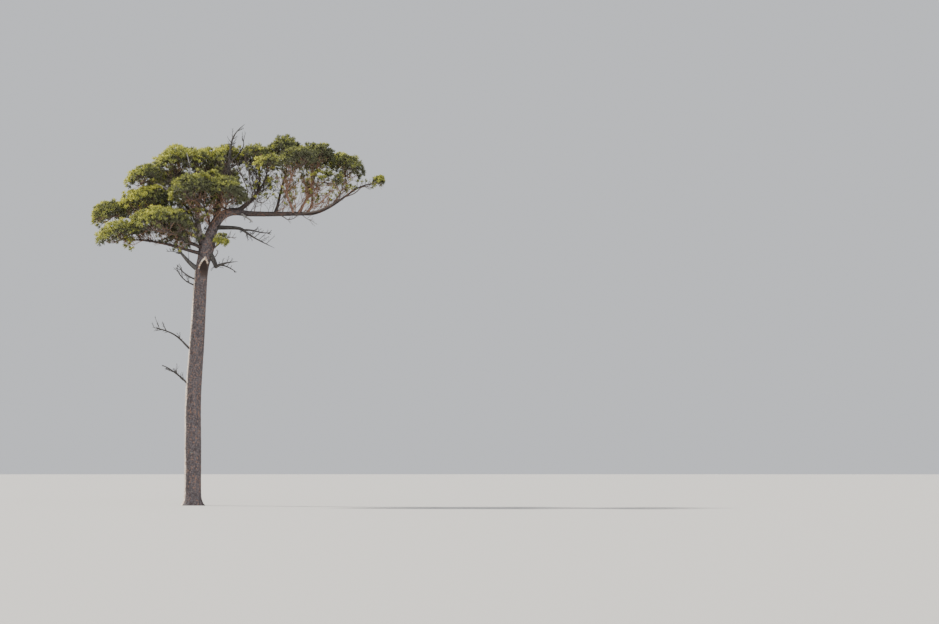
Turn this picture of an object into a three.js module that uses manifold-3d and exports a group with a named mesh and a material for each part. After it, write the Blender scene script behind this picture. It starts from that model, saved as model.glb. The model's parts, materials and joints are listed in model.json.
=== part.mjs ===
// A lone Scots pine: a tall bare trunk under a wide, flat-topped crown of needle plates,
// with one long arm to the right and dead limbs left on it. Millimetres, Z up.
// The origin is the middle of the flat cut under the trunk, at ground level.
// +X is the side of the long arm and -Y is the front.
import * as THREE from "three";
import { mergeVertices } from "three/addons/utils/BufferGeometryUtils.js";
import Module from "manifold-3d";

const wasm = await Module();
wasm.setup();

const UP = new THREE.Vector3(0, 0, 1);
const CLEARANCE = 0.35; // left between a piece and what carries it
const GAP = 2; // kept between a twig or tuft and anything it passes

// Each limb and mass draws its small unevenness from a stream of its own.
const SEEDS = { boughs: 1207, deadLimbs: 1307, masses: 2000, massStep: 100 };

// The trunk: a long bole that is upright to mid-height, then leans to the right.
const TRUNK = {
  height: 11300,
  footRadius: 345,
  neckRadius: 272,
  neckHeight: 9500,
  taperPower: 1.8,
  crotchSwell: 85, // where the boughs leave it
  crotchHeight: 11150,
  crotchSpread: 620,
  crownRound: 240, // the top is rounded off over this height
  crownDraw: 0.5,
  flare: 150, // the root flare at the ground
  flareHeight: 170,
  flareLobes: 5,
  lobeDepth: 0.3,
  lobeTurn: 0.7,
  sides: 15,
  rings: 26,
  footCrowding: 0.13, // how far the rings are drawn down towards the flare
  topCrowding: 0.03, // and up towards the rounded top
};
// How far the trunk's centre stands to the right and to the back at each height.
const TRUNK_LEAN = [
  { height: 0, right: 0, back: 0 },
  { height: 2400, right: 5, back: 20 },
  { height: 4450, right: 0, back: 40 },
  { height: 6970, right: 150, back: 20 },
  { height: 8650, right: 235, back: -10 },
  { height: 9830, right: 320, back: 0 },
  { height: 10450, right: 460, back: 0 },
  { height: 10850, right: 530, back: 0 },
  { height: 11300, right: 520, back: 0 },
];
// The raised lip of a torn-out limb on the front of the neck.
const SCAR = { height: 10060, width: 370, rise: 400, skew: 60, lip: 50, sides: 6, rings: 8 };

// How a limb is drawn when its row doesn't say otherwise.
const LIMB = { pull: 1, crook: 0.03, taper: 1, collar: 0.3, collarLength: 9 };
const LIMB_RING_SPACING = 430;
const LIMB_SIDES = [
  { over: 100, sides: 9 },
  { over: 50, sides: 7 },
  { over: 30, sides: 6 },
  { over: 0, sides: 5 },
];

// Boughs. `at` is how far along its parent a bough starts, and `tip` is where it ends.
// `leave` and `arrive` are a heading (0 right, 90 back) and a rise, in degrees.
// `root` and `end` are radii, and `pull` is how strongly the ends steer the curve.
const BOUGHS = [
  { name: "arm_rise", from: "trunk", at: 0.955, tip: [2060, -60, 12245],
    leave: [-10, 76], arrive: [0, -16], root: 235, end: 122, pull: 1.45, crook: 0.008, taper: 0.6 },
  { name: "arm_run", from: "arm_rise", at: 1, tip: [4810, -200, 12225],
    leave: [0, -16], arrive: [0, 4], root: 122, end: 70, pull: 0.3, collar: 0, crook: 0.01 },
  { name: "arm_end", from: "arm_run", at: 1, tip: [7420, -200, 13530],
    leave: [0, 4], arrive: [0, 16], root: 70, end: 20, collar: 0, crook: 0.02 },
  { name: "centre_leader", from: "arm_rise", at: 0.42, tip: [1380, 100, 13870],
    leave: [60, 80], arrive: [0, 68], root: 125, end: 60, crook: 0.02 },
  { name: "left_leader", from: "trunk", at: 0.94, tip: [200, 900, 14090],
    leave: [170, 62], arrive: [75, 84], root: 150, end: 34, taper: 0.7, crook: 0.012 },
  { name: "bough_right_inner", from: "arm_rise", at: 0.9, tip: [2720, 300, 14230],
    leave: [5, 42], arrive: [20, 88], root: 92, end: 32, pull: 1.8, crook: 0.02 },
  { name: "bough_right_lit", from: "bough_right_inner", at: 0.5, tip: [3010, -900, 13930],
    leave: [-50, 35], arrive: [-60, 60], root: 40, end: 24 },
  { name: "bough_right_crest", from: "arm_run", at: 0.48, tip: [3860, 200, 14100],
    leave: [20, 64], arrive: [30, 74], root: 64, end: 28 },
  { name: "bough_right_front", from: "arm_run", at: 0.7, tip: [4060, -1500, 13800],
    leave: [-120, 58], arrive: [-40, 68], root: 44, end: 24, pull: 1.6 },
  { name: "bough_right_shoulder", from: "arm_run", at: 0.76, tip: [5110, -200, 14100],
    leave: [-10, 40], arrive: [20, 62], root: 60, end: 26, pull: 0.8 },
  { name: "bough_right_low", from: "bough_right_shoulder", at: 0.28, tip: [5060, -800, 13260],
    leave: [-40, 44], arrive: [-40, 48], root: 38, end: 22, pull: 0.8 },
  { name: "bough_right_back", from: "arm_run", at: 0.9, tip: [4990, 1600, 14230],
    leave: [55, 35], arrive: [85, 45], root: 48, end: 24 },
  { name: "bough_right_outer", from: "arm_end", at: 0.36, tip: [6330, 200, 13620],
    leave: [15, 60], arrive: [10, 66], root: 38, end: 20 },
  { name: "bough_top_centre", from: "centre_leader", at: 0.78, tip: [1240, 820, 14190],
    leave: [105, 35], arrive: [100, 72], root: 46, end: 26 },
  { name: "bough_front_right", from: "centre_leader", at: 0.36, tip: [1300, -1130, 12400],
    leave: [-75, 4], arrive: [-90, 30], root: 62, end: 30 },
  { name: "bough_back_centre", from: "centre_leader", at: 0.22, tip: [780, 2150, 13380],
    leave: [95, 28], arrive: [90, 52], root: 64, end: 30 },
  { name: "bough_front_left", from: "arm_rise", at: 0.25, tip: [383, -1050, 12541],
    leave: [-135, 72], arrive: [-110, 72], root: 58, end: 30, pull: 0.8 },
  { name: "bough_upper_left", from: "left_leader", at: 0.5, tip: [-760, 760, 13620],
    leave: [175, 30], arrive: [155, 50], root: 60, end: 30 },
  { name: "bough_upper_left_tip", from: "left_leader", at: 0.3, tip: [-1560, -120, 13430],
    leave: [188, 32], arrive: [180, 22], root: 54, end: 26 },
  { name: "bough_back_left", from: "left_leader", at: 0.38, tip: [-540, 2100, 13140],
    leave: [115, 25], arrive: [105, 42], root: 56, end: 28 },
  { name: "bough_left_shelf", from: "trunk", at: 0.978, tip: [-1350, 240, 12200],
    leave: [172, 16], arrive: [178, 44], root: 84, end: 36 },
  { name: "bough_left_tip", from: "bough_left_shelf", at: 0.36, tip: [-2840, 520, 12080],
    leave: [165, 2], arrive: [176, 14], root: 58, end: 28 },
  { name: "bough_low_left_inner", from: "trunk", at: 0.948, tip: [-720, -1380, 11190],
    leave: [-140, 16], arrive: [-125, 26], root: 72, end: 32 },
  { name: "bough_low_left_outer", from: "trunk", at: 0.93, tip: [-2260, -980, 10990],
    leave: [-160, 7], arrive: [178, 6], root: 78, end: 36, pull: 0.8, crook: 0.015 },
  { name: "bough_back_low_left", from: "trunk", at: 0.94, tip: [-1380, 1850, 12060],
    leave: [135, 14], arrive: [142, 34], root: 76, end: 32 },
  { name: "bough_sprig", from: "trunk", at: 0.947, tip: [1110, -260, 10990],
    leave: [-35, 8], arrive: [0, 52], root: 38, end: 20, crook: 0.02 },
];

// Dead limbs, grey and bare. Forks and side twigs are one piece with their limb.
const DEAD_LIMBS = [
  { name: "dead_top", from: "centre_leader", at: 1, tip: [2110, 300, 16060],
    leave: [0, 80], arrive: [0, 40], root: 60, end: 13, pull: 1.4, taper: 0.75, twigs: 4,
    twigLength: 420,
    forks: [
      { at: 0.17, tip: [1950, 0, 15460], leave: [-10, 44], arrive: [160, 60], root: 40, end: 11,
        pull: 1.2, taper: 0.8 },
      { at: 0.06, tip: [2150, -100, 14500], leave: [-10, 40], arrive: [0, 30], root: 42, end: 16 },
    ] },
  { name: "dead_pale_snag", from: "left_leader", at: 0.66, tip: [-340, -280, 14750],
    leave: [230, 30], arrive: [170, 84], root: 42, end: 17, twigs: 1, twigLength: 260 },
  { name: "dead_fork_right", from: "arm_rise", at: 0.32, tip: [3340, -950, 10710],
    leave: [-25, -4], arrive: [4, -24], root: 82, end: 13, pull: 2.4, taper: 0.7, crook: 0.015,
    twigs: 5, twigLength: 420,
    forks: [{ at: 0.47, tip: [3200, -1200, 11340], leave: [-14, 6], arrive: [-4, 0], root: 40,
      end: 13, taper: 0.8 }] },
  { name: "dead_elbow", from: "trunk", at: 0.95, tip: [1830, -560, 10165],
    leave: [-25, -52], arrive: [0, 5], root: 112, end: 15, pull: 3, taper: 0.75, crook: 0.01,
    twigs: 4, twigLength: 330,
    forks: [{ at: 0.7, tip: [1760, -420, 9700], leave: [6, -4], arrive: [-4, -58], root: 34,
      end: 12, taper: 0.8 }] },
  { name: "dead_hanging_stub", from: "arm_rise", at: 0.93, tip: [2440, -360, 11830],
    leave: [-60, -30], arrive: [-20, -42], root: 44, end: 30 },
  { name: "dead_grey_low_left", from: "trunk", at: 0.868, tip: [-700, -320, 10690],
    leave: [190, 20], arrive: [180, 48], root: 116, end: 26, taper: 0.75, twigs: 2,
    twigLength: 420,
    forks: [{ at: 0.84, tip: [-1150, -420, 10560], leave: [190, 8], arrive: [184, -20], root: 22,
      end: 9 }] },
  { name: "dead_stub_high", from: "trunk", at: 0.826, tip: [-580, -260, 9850],
    leave: [196, 16], arrive: [186, 42], root: 40, end: 16, taper: 0.7 },
  { name: "dead_stub_curl", from: "trunk", at: 0.804, tip: [-730, 200, 9960],
    leave: [170, 22], arrive: [130, 84], root: 34, end: 13, pull: 1.2, taper: 0.7 },
  { name: "dead_stub_middle", from: "trunk", at: 0.558, tip: [-1710, 180, 7430],
    leave: [178, 42], arrive: [176, 10], root: 46, end: 14, taper: 0.7, twigs: 2,
    twigLength: 260 },
  { name: "dead_stub_low", from: "trunk", at: 0.421, tip: [-1310, -200, 5840],
    leave: [184, 58], arrive: [186, 12], root: 44, end: 20, taper: 0.6, twigs: 2,
    twigLength: 240 },
];

// Masses of needles. Each one hangs on the tip of its bough and keeps to a domed space
// with this centre and these half-lengths; `slope` is its rise to the right.
const MASSES = [
  { name: "low_left_outer", centre: [-3050, -1200, 11180], half: [1100, 1150, 660], slope: 0.14 },
  { name: "low_left_inner", centre: [-1400, -1900, 11640], half: [1380, 1350, 680], slope: 0.04 },
  { name: "left_tip", centre: [-3600, 620, 12200], half: [940, 1250, 600], slope: 0.24 },
  { name: "left_shelf", centre: [-1990, 220, 12730], half: [1200, 1450, 680], slope: 0.05 },
  { name: "upper_left_tip", centre: [-2110, -300, 13720], half: [860, 1050, 500], slope: 0.34 },
  { name: "upper_left", centre: [-860, 900, 14400], half: [1060, 1550, 840], slope: 0.3 },
  { name: "top_left", bough: "left_leader", centre: [330, 1300, 14550], half: [840, 1450, 640], slope: 0 },
  { name: "top_centre", centre: [1330, 1000, 14610], half: [820, 1350, 640], slope: 0 },
  { name: "front_left", centre: [-130, -1700, 12940], half: [1050, 1450, 860], slope: 0.26 },
  { name: "front_right", centre: [1360, -1500, 12910], half: [960, 1350, 800], slope: -0.3 },
  { name: "right_inner", centre: [2560, 300, 14660], half: [820, 1300, 560], slope: 0.05 },
  { name: "right_lit", centre: [3040, -1350, 14220], half: [640, 800, 340], slope: 0 },
  { name: "right_crest", centre: [3780, 250, 14860], half: [900, 1400, 760], slope: 0 },
  { name: "right_shoulder", centre: [5150, -200, 14640], half: [860, 1250, 660], slope: -0.08 },
  { name: "right_outer", centre: [6400, 200, 14230], half: [830, 1250, 640], slope: -0.36 },
  { name: "right_tip", bough: "arm_end", centre: [7790, -200, 13660], half: [330, 380, 190], slope: 0,
    spacing: 300 },
  { name: "right_front", centre: [4300, -2050, 14300], half: [920, 1050, 560], slope: 0 },
  { name: "right_low", centre: [5560, -1150, 13640], half: [800, 700, 300], slope: -0.1 },
  { name: "right_back", centre: [5080, 2250, 14760], half: [960, 1200, 560], slope: 0 },
  { name: "back_low_left", centre: [-2370, 2600, 12620], half: [1100, 1250, 600], slope: 0.1 },
  { name: "back_left", centre: [-1050, 2900, 13800], half: [1100, 1250, 620], slope: 0.1 },
  { name: "back_centre", centre: [900, 3000, 14050], half: [1150, 1300, 600], slope: 0 },
  { name: "sprig", centre: [1170, -320, 11230], half: [260, 280, 260], slope: 0, spacing: 210 },
];

// A mass's tufts stand on a dome: how they are dealt out over it, as shares of its size.
const DOME = {
  flank: 1.35, // how much more surface a dome has than its plan
  edge: 0.44, // under 0.5 deals more tufts to the rim
  power: 2.4,
  roundness: 0.6,
  sink: 0.38, // how far the rim lies below the middle
  jitter: 0.16,
  leastTufts: 5,
  smallest: 0.35, // the least that the inset leaves of a half-length
};
const GOLDEN_ANGLE = Math.PI * (3 - Math.sqrt(5));

// A tuft of needles is a star of teeth round a low point, on a slim stalk. The spacing
// is the one between neighbours, and the other lengths are shares of the tuft's reach.
const TUFT = {
  spacing: 500,
  reach: 0.56, // as a share of the spacing
  inset: 0.8,
  teeth: 4,
  tooth: [0.84, 1.1], // the shortest and the longest
  lift: [0.12, 0.42],
  valley: 0.44,
  rise: 0.42,
  stalk: 9,
  bare: 0.3, // how much of the way to the tuft is bare stalk
};

// The stem inside a mass, from its bough's tip to the head where its main twigs part.
const STEM = {
  sides: 5,
  stations: [0.3, 0.55, 0.8, 1],
  taper: 0.25,
  share: 0.5, // how far the head lies towards the middle of the mass
  highest: 0.55, // how far below the middle it stays, as a share of the dome's height
  least: 0.1,
  upturn: 0.4,
  pull: 0.8,
  crook: 0.02,
};

// A main twig, which ends in a tuft and carries others along it.
const TWIG = {
  tufts: 4,
  sides: 3,
  stations: [0.1, 0.4, 0.7, 1],
  root: 24,
  tip: 13,
  share: 0.78, // how far it runs towards its own tuft
  drop: 0.45, // how far below the tuft it ends, in reaches
  leave: 0.2,
  arrive: 0.9,
  crook: 0.05,
  back: 0.3, // how far back along it a tuft's stalk starts
};
const FACING = 1.6; // how much a face's distance counts against the way it looks

// A bare side twig of a dead limb.
const DEAD_TWIG = {
  from: 0.35,
  to: 0.95,
  shortest: 0.55,
  root: 15,
  rootShare: 0.6,
  taper: 0.6,
  ahead: 0.7,
  up: 0.35,
  sides: 4,
  rings: 2,
  crook: 0.06,
};

const BARK = { color: 0x6f6159, roughness: 0.95, metalness: 0 };
const BOUGH_BARK = { color: 0x5d4b42, roughness: 0.92, metalness: 0 };
const DEAD_WOOD = { color: 0x817a72, roughness: 0.9, metalness: 0 };
const NEEDLES = { color: 0x6c7030, roughness: 0.75, metalness: 0 };

// A repeatable stream of numbers from 0 to 1.
function randomStream(seed) {
  let state = seed >>> 0;
  return () => {
    state = (state + 0x6d2b79f5) >>> 0;
    let mixed = Math.imul(state ^ (state >>> 15), state | 1);
    mixed ^= mixed + Math.imul(mixed ^ (mixed >>> 7), mixed | 61);
    return ((mixed ^ (mixed >>> 14)) >>> 0) / 4294967296;
  };
}

function signed(random) {
  return 2 * random() - 1;
}

function between(random, [low, high]) {
  return low + (high - low) * random();
}

function headingVector([heading, rise]) {
  const turn = THREE.MathUtils.degToRad(heading);
  const lift = THREE.MathUtils.degToRad(rise);
  return new THREE.Vector3(
    Math.cos(lift) * Math.cos(turn),
    Math.cos(lift) * Math.sin(turn),
    Math.sin(lift),
  );
}

function perpendicular(along) {
  const other = Math.abs(along.x) < 0.9 ? new THREE.Vector3(1, 0, 0) : new THREE.Vector3(0, 1, 0);
  return other.projectOnPlane(along).normalize();
}

// The direction of a line at t.
function headingAt(line, t) {
  const step = 0.01;
  return line(Math.min(1, t + step)).sub(line(Math.max(0, t - step))).normalize();
}

// The cubic that runs from `a` to `b` and leaves and arrives along two given vectors.
function cubic(a, b, leaveBy, arriveBy, t) {
  const rest = 1 - t;
  return new THREE.Vector3()
    .addScaledVector(a, rest * rest * (1 + 2 * t))
    .addScaledVector(leaveBy, rest * rest * t)
    .addScaledVector(b, t * t * (3 - 2 * t))
    .addScaledVector(arriveBy, -t * t * rest);
}

// The centre-line of a limb, as a function of t from 0 to 1: a cubic with a seeded crook.
function limbLine({ start, tip, leave, arrive, pull, crook }, random) {
  const chord = tip.clone().sub(start);
  const reach = chord.length();
  const side = new THREE.Vector3().crossVectors(chord, UP).normalize();
  const over = new THREE.Vector3().crossVectors(side, chord).normalize();
  const waves = [1, 2, 3].map((turns) => ({
    turns,
    side: (signed(random) * crook * reach) / turns,
    over: (signed(random) * crook * reach) / turns,
  }));
  const leaveBy = leave.clone().multiplyScalar(reach * pull);
  const arriveBy = arrive.clone().multiplyScalar(reach * pull);
  return (t) => {
    const point = cubic(start, tip, leaveBy, arriveBy, t);
    for (const wave of waves) {
      const swing = Math.sin(Math.PI * wave.turns * t);
      point.addScaledVector(side, wave.side * swing).addScaledVector(over, wave.over * swing);
    }
    return point;
  };
}

// The trunk's centre-line, through the stations of its lean.
function trunkLine(t) {
  const height = t * TRUNK.height;
  const last = TRUNK_LEAN.length - 1;
  let i = 0;
  while (i < last - 1 && TRUNK_LEAN[i + 1].height < height) i += 1;
  const [before, low, high, after] = [i - 1, i, i + 1, i + 2].map(
    (n) => TRUNK_LEAN[THREE.MathUtils.clamp(n, 0, last)],
  );
  const span = high.height - low.height;
  const lean = (station) => new THREE.Vector3(station.right, station.back, 0);
  const steer = (a, b) =>
    lean(b)
      .sub(lean(a))
      .multiplyScalar(span / (b.height - a.height));
  const share = (height - low.height) / span;
  return cubic(lean(low), lean(high), steer(before, high), steer(low, after), share).setZ(height);
}

function trunkRadius(t) {
  const height = t * TRUNK.height;
  const taper = Math.min(1, height / TRUNK.neckHeight) ** TRUNK.taperPower;
  const bole = THREE.MathUtils.lerp(TRUNK.footRadius, TRUNK.neckRadius, taper);
  const crotch = Math.exp(-(((height - TRUNK.crotchHeight) / TRUNK.crotchSpread) ** 2));
  const intoRound = (height - TRUNK.height + TRUNK.crownRound) / TRUNK.crownRound;
  const round = Math.sqrt(1 - TRUNK.crownDraw * Math.max(0, intoRound) ** 2);
  return (bole + TRUNK.crotchSwell * crotch) * round;
}

// The root flare, in lobes round the foot.
function trunkFlare(height, angle) {
  const lobe = 1 + TRUNK.lobeDepth * Math.cos(TRUNK.flareLobes * angle + TRUNK.lobeTurn);
  return TRUNK.flare * Math.exp(-height / TRUNK.flareHeight) * lobe;
}

function solidOf(geometry) {
  geometry.deleteAttribute("normal");
  geometry.deleteAttribute("uv");
  const merged = mergeVertices(geometry, 1e-3);
  return new wasm.Manifold(
    new wasm.Mesh({
      numProp: 3,
      vertProperties: merged.attributes.position.array,
      triVerts: new Uint32Array(merged.index.array),
    }),
  );
}

function geometryOf(solid) {
  const mesh = solid.getMesh();
  const geometry = new THREE.BufferGeometry();
  geometry.setAttribute("position", new THREE.BufferAttribute(mesh.vertProperties, 3));
  geometry.setIndex(new THREE.BufferAttribute(mesh.triVerts, 1));
  return geometry.toNonIndexed();
}

// A closed cylinder bent along a line. `radiusAt(t, angle)` gives its radius, `facing(t)`
// the way its rings look, and `grow` makes it that much fatter and longer.
function tube({ line, radiusAt, sides, rings, grow = 0, facing = (t) => headingAt(line, t) }) {
  const shape = new THREE.CylinderGeometry(1, 1, 1, sides, rings);
  const centres = Array.from({ length: rings + 1 }, (_, i) => line(i / rings));
  const headings = centres.map((_, i) => facing(i / rings));
  const across = [perpendicular(headings[0])];
  for (let i = 1; i <= rings; i += 1) {
    across.push(across[i - 1].clone().projectOnPlane(headings[i]).normalize());
  }
  centres[0].addScaledVector(headings[0], -grow);
  centres[rings].addScaledVector(headings[rings], grow);
  const position = shape.attributes.position;
  for (let v = 0; v < position.count; v += 1) {
    const i = Math.round((position.getY(v) + 0.5) * rings);
    const [x, z] = [position.getX(v), position.getZ(v)];
    const radius = radiusAt(i / rings, Math.atan2(z, x)) + grow;
    const binormal = across[i].clone().cross(headings[i]);
    const point = centres[i]
      .clone()
      .addScaledVector(across[i], x * radius)
      .addScaledVector(binormal, z * radius);
    position.setXYZ(v, point.x, point.y, point.z);
  }
  return solidOf(shape);
}

// One limb, from a point along its parent: its line, its radius and its solid. It narrows
// to its end, with a collar where it leaves its parent.
function limbFrom(parent, row, random) {
  const { at, root, end, taper, collar, ...drawn } = { ...LIMB, ...row };
  const start = parent.line(at);
  const tip = new THREE.Vector3(...row.tip);
  const [leave, arrive] = [headingVector(row.leave), headingVector(row.arrive)];
  const line = limbLine({ ...drawn, start, tip, leave, arrive }, random);
  const radiusAt = (t) =>
    end + (root - end) * (1 - t) ** taper + collar * root * Math.exp(-t * LIMB.collarLength);
  const rings = THREE.MathUtils.clamp(Math.round(start.distanceTo(tip) / LIMB_RING_SPACING), 3, 9);
  const { sides } = LIMB_SIDES.find(({ over }) => root > over);
  return { line, radiusAt, solid: (grow = 0) => tube({ line, radiusAt, sides, rings, grow }) };
}

// A short dead side twig, growing out and up from a point along its limb.
function sideTwig(parent, longest, random) {
  const at = between(random, [DEAD_TWIG.from, DEAD_TWIG.to]);
  const start = parent.line(at);
  const ahead = headingAt(parent.line, at);
  const out = new THREE.Vector3(signed(random), signed(random), signed(random));
  out.projectOnPlane(ahead).normalize();
  const heading = ahead.multiplyScalar(DEAD_TWIG.ahead).add(out);
  heading.addScaledVector(UP, DEAD_TWIG.up).normalize();
  const length = longest * between(random, [DEAD_TWIG.shortest, 1]);
  const tip = start.clone().addScaledVector(heading, length);
  const root = Math.min(DEAD_TWIG.rootShare * parent.radiusAt(at), DEAD_TWIG.root);
  const { crook, sides, rings } = DEAD_TWIG;
  const line = limbLine({ start, tip, leave: heading, arrive: heading, pull: 1, crook }, random);
  return tube({ line, radiusAt: (t) => root * (1 - DEAD_TWIG.taper * t), sides, rings });
}

function largest(solid) {
  const bodies = solid.decompose();
  return bodies.reduce((best, body) => (body.volume() > best.volume() ? body : best));
}

function boxesMeet(a, b, margin = 1) {
  return [0, 1, 2].every((k) => a.min[k] - margin < b.max[k] && b.min[k] - margin < a.max[k]);
}

function boxed(solid) {
  return { solid, box: solid.boundingBox() };
}

// Cuts a piece clear of everything that is already in place and near it.
function cutClear(solid, cutters) {
  const box = solid.boundingBox();
  const near = cutters.filter((cutter) => boxesMeet(box, cutter.box));
  if (!near.length) return largest(solid);
  return largest(solid.subtract(wasm.Manifold.union(near.map((cutter) => cutter.solid))));
}

// The tufts of a mass, each with its place on the dome: a golden-angle spiral with a
// seeded jitter, so that the numbers of one tuft don't depend on another's.
function domeTufts(mass, seed) {
  const spacing = mass.spacing ?? TUFT.spacing;
  const reach = spacing * TUFT.reach;
  const [a, b, h] = mass.half.map((half) =>
    Math.max(half - TUFT.inset * reach, DOME.smallest * half),
  );
  const area = Math.PI * mass.half[0] * mass.half[1] * DOME.flank;
  const count = Math.max(DOME.leastTufts, Math.round(area / spacing ** 2));
  const turn = 2 * Math.PI * randomStream(seed)();
  return Array.from({ length: count }, (_, i) => {
    const random = randomStream(seed + i + 1);
    const out = ((i + 0.5) / count) ** DOME.edge;
    const angle = turn + i * GOLDEN_ANGLE;
    const inner = DOME.jitter * (1 - out);
    const x = a * (out * Math.cos(angle) + inner * signed(random));
    const y = b * (out * Math.sin(angle) + inner * signed(random));
    const dome = (1 - out ** DOME.power) ** DOME.roundness - DOME.sink * out;
    const z = h * (dome + DOME.jitter * signed(random)) + mass.slope * x;
    const place = new THREE.Vector3(...mass.centre).add(new THREE.Vector3(x, y, z));
    const teeth = Array.from({ length: TUFT.teeth }, () => between(random, TUFT.tooth));
    const lifts = teeth.map(() => between(random, TUFT.lift));
    return { place, reach, teeth, lifts, random };
  });
}

// Shares the tufts out among main twigs, by the way each lies from the stem's head, with
// the furthest of each group first.
function shareOut(tufts, head) {
  const around = tufts
    .map((tuft) => ({ tuft, angle: Math.atan2(tuft.place.y - head.y, tuft.place.x - head.x) }))
    .sort((p, q) => p.angle - q.angle);
  const gaps = around.map(({ angle }, i) => {
    const wrap = i + 1 === around.length ? 2 * Math.PI : 0;
    return around[(i + 1) % around.length].angle + wrap - angle;
  });
  const first = gaps.indexOf(Math.max(...gaps)) + 1;
  const turned = [...around.slice(first), ...around.slice(0, first)].map(({ tuft }) => tuft);
  const groups = Math.ceil(turned.length / TWIG.tufts);
  const upTo = (g) => Math.round((g * turned.length) / groups);
  return Array.from({ length: groups }, (_, g) =>
    turned
      .slice(upTo(g), upTo(g + 1))
      .sort((p, q) => q.place.distanceTo(head) - p.place.distanceTo(head)),
  );
}

// A mass is grown as one skin: points, and faces that open to let a twig or a tuft out.
function newSkin() {
  return { points: [], faces: [] };
}

function skinSolid(skin) {
  const shape = new THREE.BufferGeometry().setFromPoints(skin.points);
  shape.setIndex(skin.faces.flat());
  return solidOf(shape);
}

// Adds a ring of points round a centre, the first of them towards `start`.
function addRing(skin, { centre, along, start, count, radiusAt, liftAt = () => 0 }) {
  const side = along.clone().cross(start);
  return Array.from({ length: count }, (_, k) => {
    const angle = (2 * Math.PI * k) / count;
    const point = centre
      .clone()
      .addScaledVector(start, radiusAt(k) * Math.cos(angle))
      .addScaledVector(side, radiusAt(k) * Math.sin(angle))
      .addScaledVector(along, liftAt(k));
    return skin.points.push(point) - 1;
  });
}

// Joins a ring to the next one along it, and returns the faces between them.
function bridge(skin, low, high) {
  const made = [];
  let [i, j] = [0, 0];
  while (i < low.length || j < high.length) {
    const highNext = i === low.length || (j + 0.5) / high.length <= (i + 0.5) / low.length;
    const from = low[i % low.length];
    const to = high[j % high.length];
    if (highNext && j < high.length) {
      j += 1;
      made.push([from, high[j % high.length], to]);
    } else {
      i += 1;
      made.push([from, low[i % low.length], to]);
    }
  }
  skin.faces.push(...made);
  return made;
}

function openFace(skin, face) {
  skin.faces.splice(skin.faces.indexOf(face), 1);
}

function corners(skin, face) {
  return face.map((n) => skin.points[n]);
}

function faceMiddle(skin, face) {
  const [a, b, c] = corners(skin, face);
  return a.clone().add(b).add(c).divideScalar(3);
}

function faceNormal(skin, face) {
  const [a, b, c] = corners(skin, face);
  return b.clone().sub(a).cross(c.clone().sub(a)).normalize();
}

// The face that best lets something out towards a place.
function bestFace(skin, faces, place) {
  const score = (face) => {
    const way = place.clone().sub(faceMiddle(skin, face));
    const turnedAway = 1 - faceNormal(skin, face).dot(way.clone().normalize()) / FACING;
    return way.length() * turnedAway;
  };
  return faces.reduce((best, face) => (score(face) < score(best) ? face : best));
}

// The direction in which a new ring should start, so that it doesn't twist against `ring`.
function alignedStart(skin, ring, centre, along) {
  const across = perpendicular(along);
  const side = along.clone().cross(across);
  let [cos, sin] = [0, 0];
  ring.forEach((n, k) => {
    const arm = skin.points[n].clone().sub(centre);
    const angle = Math.atan2(arm.dot(side), arm.dot(across)) - (2 * Math.PI * k) / ring.length;
    cos += Math.cos(angle);
    sin += Math.sin(angle);
  });
  const turn = Math.atan2(sin, cos);
  return across.multiplyScalar(Math.cos(turn)).addScaledVector(side, Math.sin(turn));
}

// Runs a tube on from a ring (or an opened face), and returns its last ring and its faces.
function runOn(skin, ring, line, radiusAt, stations) {
  const faces = [];
  let [low, from] = [ring, 0];
  for (const t of stations) {
    const along = headingAt(line, t);
    const start = alignedStart(skin, low, line(from), along);
    const count = ring.length;
    const high = addRing(skin, { centre: line(t), along, start, count, radiusAt: () => radiusAt(t) });
    faces.push(...bridge(skin, low, high));
    [low, from] = [high, t];
  }
  return { end: low, faces };
}

// Opens a ring into a tuft's star.
function openTuft(skin, ring, foot, tuft) {
  const { place, reach, teeth, lifts } = tuft;
  const along = place.clone().sub(foot).normalize();
  const isTooth = (k) => k % 2 === 0;
  const rim = addRing(skin, {
    centre: place,
    along,
    start: alignedStart(skin, ring, foot, along),
    count: 2 * TUFT.teeth,
    radiusAt: (k) => reach * (isTooth(k) ? teeth[k / 2] : TUFT.valley),
    liftAt: (k) => reach * (isTooth(k) ? lifts[k / 2] : 0),
  });
  bridge(skin, ring, rim);
  const top = skin.points.push(place.clone().addScaledVector(along, TUFT.rise * reach)) - 1;
  rim.forEach((n, k) => skin.faces.push([n, rim[(k + 1) % rim.length], top]));
}

// Opens a face into a slim stalk with a tuft on its end.
function stalkedTuft(skin, face, tuft) {
  const foot = faceMiddle(skin, face);
  const along = tuft.place.clone().sub(foot);
  const neck = foot.clone().addScaledVector(along, TUFT.bare);
  const start = alignedStart(skin, face, foot, along.normalize());
  const ring = addRing(skin, { centre: neck, along, start, count: 3, radiusAt: () => TUFT.stalk });
  bridge(skin, face, ring);
  openTuft(skin, ring, neck, tuft);
}

// What would grow out of a face, as solids of their own: the whole of it, and what is
// left above its first ring.
function trialOf(skin, face, grow) {
  const alone = newSkin();
  alone.points.push(...corners(skin, face).map((point) => point.clone()));
  grow(alone, [0, 1, 2]);
  const above = alone.faces.filter((grown) => grown.every((n) => n > 2));
  return {
    whole: skinSolid({ points: alone.points, faces: [[2, 1, 0], ...alone.faces] }),
    upper: skinSolid({ points: alone.points, faces: [[5, 4, 3], ...above] }),
  };
}

function isClear(solid, others) {
  return others.every((other) => solid.minGap(other, GAP) >= GAP);
}

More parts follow.
